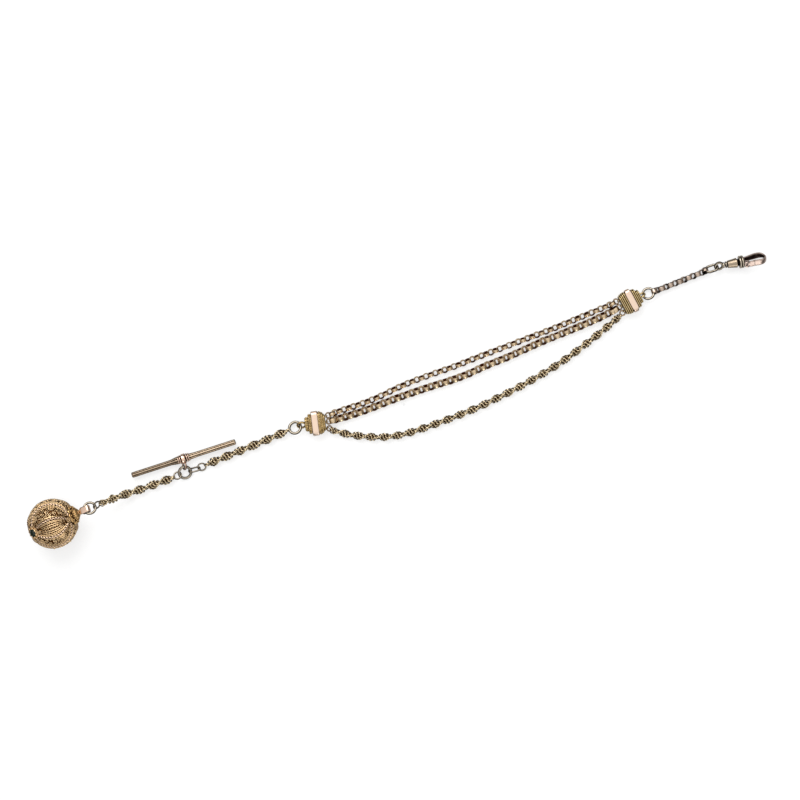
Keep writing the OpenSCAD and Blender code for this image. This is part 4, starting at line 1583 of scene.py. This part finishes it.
    def fine_work(self, middles: Sequence[Points]) -> None:
        """Scrolls in the panels, and grains in what they leave free.

        Args:
            middles: Directions of the rosettes, which stay free.
        """
        random = np.random.default_rng(self.seed)
        bands = np.vstack([self.arc(azimuth, step=0.4) for azimuth in self.bands])
        wires = np.vstack([self.arc(azimuth, *self.wire_ends, step=0.4) for azimuth in self.wires])
        keep_off = [(self.towards(0, 0), 2.1), (self.boss_spot, 1.3), (self.neck_place.turn[:, 2], 3.5)]
        keep_off += [(middle, 1.95) for middle in middles]
        # Real scrolls are of wire 0.15 mm thick, drawn nearly twice as coarse so that they show
        scrolls = [sweep(spiral(0.16, 0.62, turns, 34) + [0, 0, 0.16], round_outline(0.14, 6), (0, 0, 1))
                   for turns in (-1.25, 1.25)]
        grains = [bead(0.19, 5, 8).raised(0.12)]
        earlier: list[Points] = []
        for kind in (Strewn("ball_scrolls", 5000, 0.0, 1.3, 0.5, 1.3, scrolls),
                     Strewn("ball_grains", 9000, -0.22, 0.95, 0.3, 0.56, grains)):
            form = Form()
            own: list[Points] = []
            for spot in even_directions(kind.tries):
                spin, choice = random.uniform(0, 360), random.integers(len(kind.shapes))
                if (any(self.angle_gap(spot, other) < gap + kind.margin for other, gap in keep_off)
                        or self.least_gap(spot, bands) < kind.from_band
                        or self.least_gap(spot, wires) < kind.from_wire
                        or self.least_gap(spot, earlier) < kind.apart + 0.3
                        or self.least_gap(spot, own) < kind.apart):
                    continue
                own.append(spot)
                form.add(self.wrapped(kind.shapes[choice], spot, spin))
            earlier += own
            form.piece(kind.name, FILIGREE_GOLD, "yellow_gold", "ball_shell")

    def collet(self) -> None:
        """The collet in a ring of grains, with its claws over the stone's edge."""
        collet = lathe([(-1.2, 1.5), (-0.2, 1.56), (-0.16, 1.84), (-0.02, 1.92), (0.08, 1.8), (0.12, 1.64),
                        (0.42, 1.62), (0.5, 1.52), (0.4, 1.44), (0, 1.4)], 72).at(UPRIGHT)
        form = Form().add(collet, 0.25, self.setting_place)
        form.add(copies(bead(0.17), places_round(1.95, -0.1, 28)), 0.0, self.setting_place)
        line = along_route([
            (1.74, 0, -0.1), (1.76, 0, 0.25), (1.7, 0, 0.55), (1.55, 0, 0.68), (1.36, 0, 0.68),
        ], 0.08)
        wire = 0.22 - 0.1 * np.linspace(0, 1, len(line)) ** 2
        claw = sweep(line, wire[:, None, None] * round_outline(1.0, 10), (0, 1, 0))
        claws = [Place(turn=turned(z=math.degrees(0.2) + 45 * k)) for k in range(8)]
        form.add(copies(claw, claws), 0.0, self.setting_place)
        form.piece("ball_collet", FILIGREE_GOLD, "grey_gold", "ball_setting", crease=60)

    def stone(self) -> None:
        """The stone: a low faceted crown over a pointed back."""
        gem = lathe([(-0.15, 0.5), (0.33, 1.36), (0.5, 1.45), (0.64, 1.24), (0.9, 0.76)], 8).at(UPRIGHT)
        form = Form().add(gem, 0.0, self.setting_place)
        form.piece("ball_faceted_stone", Stone(), "dark_stone", "ball_stone", crease=5)

    def boss(self) -> None:
        """The pierced boss where the bands meet beside the cap, over a dark disc painted as the shade in its
        openings.
        """
        rim, depth = twisted_ring(0.95, 0.2)
        form = Form().add(self.wrapped(rim, self.boss_spot), depth)
        line = np.array([[0.3, 0, 0.32], [0.6, 0, 0.3], [0.9, 0, 0.2]])
        spoke = sweep(line, soft_box(0.24, 0.22, 10, 3), (0, 0, 1))
        for k in range(8):
            form.add(self.wrapped(spoke, self.boss_spot, 45 * k))
        hub = bead(0.34, 8, 16)
        hub = Shape(hub.points * [1, 1, 0.6], hub.faces).raised(0.3)
        form.add(self.wrapped(hub, self.boss_spot))
        form.piece("ball_boss", FILIGREE_GOLD, "yellow_gold", "ball_shell")
        # a dark disc, painted as the shade seen through the boss's openings
        disc = lathe([(0.05, 0.86), (0.09, 0.86), (0.1, 0.82)], 48).at(UPRIGHT)
        opening_shade = Form().add(self.wrapped(disc, self.boss_spot), 1.0)
        opening_shade.piece("ball_boss_openings", BAND_GOLD, "yellow_gold", "ball_shell")

    def cap_foot(self) -> tuple[Shape, np.ndarray]:
        """The foot of the cap, with ten scallops that lie on the ball.

        Returns:
            The shape and the depth of each of its points.
        """
        a = np.linspace(0, 2 * math.pi, self.cap_sides, endpoint=False)
        lobe = np.abs(np.cos(5 * a))
        edge = 2.82 + 0.44 * lobe ** 0.7
        share, height, depth = np.array([  # share of the edge's radius, height over the ground and depth, painted as shade where the foot meets the ball and the dome
            (1.0, 0.02, 0.9), (1.02, 0.35, 0.4), (1.0, 0.62, 0.0), (0.95, 0.74, 0.0), (0.85, 0.7, 0.5),
            (0.72, 0.74, 0.6), (0.5, 0.9, 0.8),
        ]).T[..., None]
        r = edge * share
        z = np.sqrt(np.maximum((self.ground + height) ** 2 - r ** 2, 0))
        foot = skin(np.stack([r * np.cos(a), r * np.sin(a), z], axis=2))
        # painted shade between the scallops as well
        return foot, padded(np.clip(depth + 0.5 * (1 - lobe) ** 4, 0, 1), foot, 0.8)

    def cap_dome(self) -> tuple[Shape, np.ndarray]:
        """The dome of the cap, with twenty ribs.

        Returns:
            The shape and the depth of each of its points.
        """
        a = np.linspace(0, 2 * math.pi, self.cap_sides, endpoint=False)
        up = np.radians(np.linspace(4, 80, 26))[:, None]
        rib = 0.5 + 0.5 * np.cos(20 * a)
        r = 2.0 * np.cos(up) * (0.955 + 0.045 * rib)
        z = 8.45 + 1.75 * np.sin(up)
        dome = skin(np.stack(np.broadcast_arrays(r * np.cos(a), r * np.sin(a), z), axis=2))
        # painted shade between the ribs
        return dome, padded(np.tile(0.9 * (1 - rib) ** 2, len(up)), dome, 0.2)

    def cap(self) -> None:
        """The cap: its foot, two rings of grains and its dome."""
        form = Form()
        for shape, depth in (
            self.cap_foot(),
            (copies(bead(0.3, 7, 12), places_round(2.72, 8.32, 10)), 0.0),
            (copies(bead(0.24, 6, 10), places_round(2.2, 8.72, 20)), 0.0),
            self.cap_dome(),
        ):
            form.add(shape, depth, self.neck_place)
        form.piece("ball_cap_dome", CAP_GOLD, "yellow_gold", "ball_cap")

    def knob(self) -> None:
        """The knob on the cap, with the eye for the strap."""
        knob = lathe([(9.95, 0.55), (10.0, 0.86), (10.1, 0.9), (10.2, 0.78), (10.26, 0.5), (10.36, 0.46),
                      (10.44, 0.3)], 48).at(UPRIGHT)
        form = Form().add(knob, 0.2, self.neck_place)
        eye = self.neck_place.inner(Place((0, 0, 10.75), turned(x=90, z=65)))
        form.add(torus(0.75, 0.25, 44, 12), 0.0, eye)
        form.piece("ball_cap_knob", FILIGREE_GOLD, "yellow_gold", "ball_cap")

    def strap(self) -> None:
        """The folded strap that widens from the eye to the ring."""
        start, length, high, thick = 10.6, 3.4, 2.2, 0.35
        narrow, wide, widens_over = 1.2, 2.2, 0.7
        middle = start + length / 2
        flat = soft_box(length - thick, high - thick, 80, 5.0)
        path = np.column_stack([0 * flat[:, 0], flat[:, 1], middle + flat[:, 0]])
        along = np.clip((path[:, 2] - start) / widens_over, 0, 1)
        width = narrow + (wide - narrow) * along * along * (3 - 2 * along)
        outline = soft_box(thick, 1.0, 24, 5.0)
        shape = sweep(path, banded(outline, width), (1, 0, 0), closed=True)
        inwards = towards_centre(path, (1, 0, 0), (0, 0, middle), closed=True)
        # painted shade on the inside of the folded strap
        inside = 0.9 * (outline[:, 0] * inwards[:, None] > 0).ravel()
        form = Form().add(shape, inside, self.neck_place.inner(Place(turn=turned(z=76))))
        form.piece("ball_strap", STRAP_GOLD, "rose_gold", "ball_bail", crease=50)


@dataclass(frozen=True)
class Clip:
    """Swivel clip: an eye on a pin, a cone and a collar that turn on it, and a hook with a gate."""

    place: Place = Place((117, 7, 2.5), turned(z=-9.5))
    hook_roll: float = 52.0
    band_width: float = 2.2
    band_thick: float = 0.6
    hook_half: float = 2.3
    hinge: tuple[float, float] = (6.55, -1.8)
    nose_x: float = 8.72

    @property
    def hook_place(self) -> Place:
        """The frame of the hook: X along the clip, Y over the loop's height, Z over the band's width."""
        return self.place.inner(Place(turn=turned(x=-self.hook_roll)))

    @property
    def hinge_place(self) -> Place:
        """The middle of the hinge, with X along its pin."""
        return self.hook_place.inner(Place((*self.hinge, 0), turned(y=90)))

    def build(self) -> None:
        """Makes the parts of the clip."""
        self.eye()
        self.cone()
        self.collar()
        self.hook()
        self.gate()

    def eye(self) -> None:
        """The eye, two discs and the pin that the clip swivels on."""
        eye, flank = flank_shaded_torus(1.24, 0.44, 56, 14)
        pin = lathe([
            (-1.62, 0.3), (-1.55, 0.7), (-1.48, 0.95), (-1.3, 1.0), (-1.12, 0.95), (-1.05, 0.5), (-0.75, 0.5),
            (-0.7, 1.05), (-0.5, 1.15), (-0.32, 1.08), (-0.28, 0.45), (0.6, 0.45), (0.75, 0.8), (1.25, 0.8),
            (1.3, 0.3),
        ])
        # painted shade on the pin between the discs, inside the eye
        between = np.where(pin.off_axis() < 0.7, 1.0, 0.15) * (pin.points[:, 0] > -1.45)
        form = Form().add(eye, flank, self.place.inner(Place((-2.85, 0, 0), turned(x=35))))
        form.add(pin, between, self.place)
        form.piece("clip_eye_and_pin", RING_GOLD, "grey_gold", "swivel_eye", crease=45)

    def cone(self) -> None:
        """The cone and the neck behind the collar."""
        cone = lathe([
            (0.0, 0.55), (0.0, 1.12), (0.05, 1.2), (0.15, 1.24), (0.3, 1.245), (1.2, 1.37), (2.2, 1.51),
            (2.9, 1.62), (3.02, 1.64), (3.1, 1.58), (3.14, 1.4), (3.2, 1.16), (3.8, 1.14), (3.82, 0.8),
            (4.5, 0.8),
        ], 96)
        x = cone.points[:, 0]
        # painted shade on the neck behind the collar and in the bore
        neck = np.where(x > 3.12, 1.0, 0.0)
        bore = np.where((x < 0.02) & (cone.off_axis() < 1.1), 0.8, 0.0)
        form = Form().add(cone, neck + bore, self.place)
        form.piece("clip_cone", TURNED_GOLD, "old_gold", "clip_barrel", Body.HOOK, crease=40)

    def collar(self) -> None:
        """The collar: two rounded ridges with a groove between."""
        collar = lathe([
            (3.86, 0.85), (3.86, 1.75), (3.92, 1.98), (4.05, 2.1), (4.25, 2.14), (4.42, 2.1), (4.5, 1.96),
            (4.56, 1.82), (4.62, 1.8), (4.7, 1.95), (4.8, 2.1), (4.98, 2.15), (5.2, 2.1), (5.36, 1.98),
            (5.46, 1.78), (5.5, 1.5), (5.5, 0.85),
        ], 96)
        x = collar.points[:, 0]
        # painted shade in the groove, on the ends against the cone and the hook, and towards the hook
        groove = np.where((x > 4.5) & (x < 4.7), 0.9, 0.0)
        ends = np.where((x <= 3.9) | (x >= 5.48), np.clip(1.9 - collar.off_axis(), 0, 1), 0.0)
        towards_hook = np.clip((x - 5.2) * 1.5, 0, 0.8)
        form = Form().add(collar, np.clip(groove + ends + towards_hook, 0, 1), self.place)
        form.piece("clip_collar_ring", RING_GOLD, "grey_gold", "clip_collar", Body.HOOK)

    def band(self) -> tuple[Shape, np.ndarray]:
        """The hook's band: up from the collar, round the front and back to the nose.

        Returns:
            The shape and the depth of each of its points.
        """
        mid = self.hook_half - self.band_thick / 2
        rise = [(5.62, 1.15), (6.6, 1.32), (7.6, 1.5), (8.7, 1.72), (9.7, 1.9)]
        bend = [(10.8 + mid * math.sin(t), mid * math.cos(t)) for t in np.linspace(0, math.pi, 13)]
        nose = [(10.0, -mid), (9.4, -mid), (self.nose_x + 0.05, -mid)]
        route = along_route([(x, y, 0.0) for x, y in rise + bend + nose], 0.12)
        share = np.linspace(0, 1, len(route))
        width = self.band_width * (0.72 + 0.28 * np.clip(share / 0.25, 0, 1))
        width *= 1 - 0.42 * np.exp(-((share - 0.6) / 0.14) ** 2)  # narrower round the front
        outline = soft_box(self.band_thick, 1.0, 28, 4.0)
        band = sweep(route, banded(outline, width), (0, 0, 1))
        inwards = towards_centre(route, (0, 0, 1), (9.3, 0, 0), closed=False)
        # painted shade on the band's inner face, inside the loop
        inner = np.clip(outline[:, 0] / (self.band_thick / 2) * inwards[:, None], 0, 1) ** 2
        return band, padded(inner, band, 0.2)

    def ear(self) -> Shape:
        """One of the flat ears that hold the gate's pin.

        Returns:
            The ear, with its middle at Z = 0.
        """
        x, y = self.hinge
        edge = np.array([
            (5.55, y - 0.42), (5.9, y - 0.48), (x, y - 0.5), (x + 0.35, y - 0.35), (x + 0.5, y),
            (x + 0.35, y + 0.35), (x, y + 0.5), (5.9, y + 0.72), (5.55, y + 0.75),
        ])
        middle = edge.mean(axis=0)
        rows = []
        for z, share in ((-0.24, 0.9), (-0.2, 1.0), (0.2, 1.0), (0.24, 0.9)):
            rows.append(np.column_stack([middle + (edge - middle) * share, np.full(len(edge), z)]))
        return skin(np.array(rows))

    def hook(self) -> None:
        """The band with its foot, and the ears, root and pin of the gate."""
        foot = lathe([(5.4, 0.8), (5.52, 1.35), (5.62, 1.4), (5.78, 1.3), (5.9, 0.9), (5.95, 0.2)], 48)
        root = along_route([(5.5, -1.55, 0.0), (5.75, -1.6, 0.0), (6.02, -1.68, 0.0)], 0.06)
        pin = lathe([(-1.16, 0.2), (-1.12, 0.28), (1.12, 0.28), (1.16, 0.2)], 24)
        form = Form().add(*self.band(), self.hook_place).add(foot, 0.6, self.place)
        form.add(copies(self.ear(), [Place((0, 0, z)) for z in (-0.86, 0.86)]), 0.2, self.hook_place)
        form.add(sweep(root, soft_box(1.0, 1.3, 20, 4.0), (0, 0, 1)), 0.3, self.hook_place)
        form.add(pin, 0.1, self.hinge_place)
        form.piece("clip_hook_band", BAND_GOLD, "pink_gold", "clip_hook", Body.HOOK, crease=50)

    def gate(self) -> None:
        """The gate: knuckle, flat arm and the tongue that closes behind the nose."""
        start = self.hinge[0]
        low = -self.hook_half + 0.25
        half = [(0.52, 0.5), (0.58, 0.46), (0.6, 0.35)]
        knuckle = lathe([(-x, r) for x, r in half[::-1]] + half, 36)
        form = Form().add(knuckle, 0.1, self.hinge_place)
        neck = [(start + 0.1, low + 0.05), (start + 0.4, low), (start + 0.75, low)]
        arm = [(7.08, low), (7.6, low), (8.1, low), (8.61, low)]
        tongue = [(8.3, low + 0.05), (8.42, low + 0.5), (8.66, low + 0.7), (9.28, low + 0.7)]
        for route, thick, wide in ((neck, 0.46, 1.2), (arm, 0.5, self.band_width), (tongue, 0.36, 1.5)):
            path = along_route([(x, y, 0.0) for x, y in route], 0.06)
            form.add(sweep(path, soft_box(thick, wide, 24, 5.0), (0, 0, 1)), 0.05, self.hook_place)
        form.piece("clip_gate_arm", BAND_GOLD, "pink_gold", "clip_gate", Body.GATE, crease=50)


class Lamp(NamedTuple):
    """A square lamp behind cloth, turned to the middle of the chain."""

    name: str
    at: Vector
    size: float
    watts: float


@dataclass(frozen=True)
class Studio:
    """Pale table, soft lights and the camera straight above, as in the photograph."""

    camera_at: Vector = (-0.740, 1.866, 600.0)
    camera_turn: float = -20.0
    lens_mm: float = 80.84
    sensor_mm: float = 36.0
    table_rings: Sequence[float] = (900, 640, 420, 260, 160, 90, 40, 0.5)  # radii, for a smooth flat sheet
    table_colour: str = "#B4B4B4"
    table_glow: float = 0.62  # the card is lit from behind as well, so that shadows are faint
    white: str = "#FFFFFF"
    backdrop: float = 0.9  # how bright the sky looks to the camera
    lamps: Sequence[Lamp] = (Lamp("key", (-30, 420, 440), 480, 2.2), Lamp("low", (20, -540, 160), 320, 0.7))

    def build(self) -> None:
        """Sets the table, the lights, the camera and how the picture is shown."""
        self.table()
        self.sky()
        for lamp in self.lamps:
            self.softbox(lamp)
        self.camera()
        bpy.context.scene.view_settings.view_transform = "Standard"
        bpy.context.scene.view_settings.look = "None"

    def table(self) -> None:
        """A sheet of smooth pale card under the chain."""
        sheet = skin(np.stack([circle_path(radius, 96) for radius in self.table_rings]), capped=False)
        mesh = bpy.data.meshes.new("table")
        mesh.from_pydata((sheet.points * MM).tolist(), [], sheet.faces[:, ::-1].tolist())
        card = bpy.data.materials.new("smooth_pale_card")
        tree = blank_tree(card)
        surface = add_node(tree, "ShaderNodeBsdfPrincipled", {
            "Base Color": linear(self.table_colour), "Roughness": 0.9, "Specular IOR Level": 0.1,
            "Emission Color": linear(self.white), "Emission Strength": self.table_glow,
        })
        add_node(tree, "ShaderNodeOutputMaterial", {"Surface": surface.outputs["BSDF"]})
        mesh.materials.append(card)
        table = in_scene("table", mesh)
        table.visible_glossy = False

    def sky(self) -> None:
        """Soft light from all over the ceiling, with darker walls that the metal mirrors on its flanks."""
        world = bpy.data.worlds.new("studio")
        bpy.context.scene.world = world
        tree = blank_tree(world)
        place = add_node(tree, "ShaderNodeTexCoord").outputs["Generated"]
        height = add_node(tree, "ShaderNodeSeparateXYZ", {"Vector": place}).outputs["Z"]
        above, below = (
            add_node(tree, "ShaderNodeMapRange", {
                "Value": height, "From Min": start, "From Max": end, "To Min": least, "To Max": most,
            }, interpolation_type="SMOOTHSTEP").outputs["Result"]
            for start, end, least, most in ((0.12, 1.0, 0.05, 1.0), (-0.05, -0.5, 0.0, 0.5))
        )
        lit = add_node(tree, MATH, {0: above, 1: below}, operation="ADD").outputs[0]
        seen = add_node(tree, "ShaderNodeLightPath").outputs["Is Camera Ray"]
        strength = add_node(tree, MIX, {
            MIX_FACTOR: seen, MIX_FIRST_VALUE: lit, MIX_SECOND_VALUE: self.backdrop,
        }, data_type="FLOAT").outputs[0]
        ceiling = add_node(tree, "ShaderNodeBackground", {"Color": linear(self.white), "Strength": strength})
        add_node(tree, "ShaderNodeOutputWorld", {"Surface": ceiling.outputs["Background"]})

    def softbox(self, lamp: Lamp) -> None:
        """Hangs a lamp.

        Args:
            lamp: The lamp.
        """
        light = bpy.data.lights.new(lamp.name, "AREA")
        light.shape = "SQUARE"
        light.size = lamp.size * MM
        light.energy = lamp.watts
        stand = in_scene(lamp.name, light)
        stand.location = [v * MM for v in lamp.at]
        stand.rotation_euler = mathutils.Vector(lamp.at).to_track_quat("Z", "Y").to_euler()

    def camera(self) -> None:
        """The camera, straight above."""
        lens = bpy.data.cameras.new("photograph")
        lens.lens = self.lens_mm
        lens.sensor_width = self.sensor_mm
        eye = in_scene("photograph", lens)
        eye.location = [v * MM for v in self.camera_at]
        eye.rotation_euler = (0, 0, math.radians(self.camera_turn))
        bpy.context.scene.camera = eye


def main() -> None:
    """Builds the studio and the watch chain, from the ball to the clip."""
    logging.basicConfig(level=logging.INFO, format="%(message)s")
    Studio().build()
    for part in (Ball(), *RINGS.values(), *ROPES, *BELCHERS, TBar(), *SLIDES, Clip()):
        part.build()


if __name__ == "__main__":
    main()
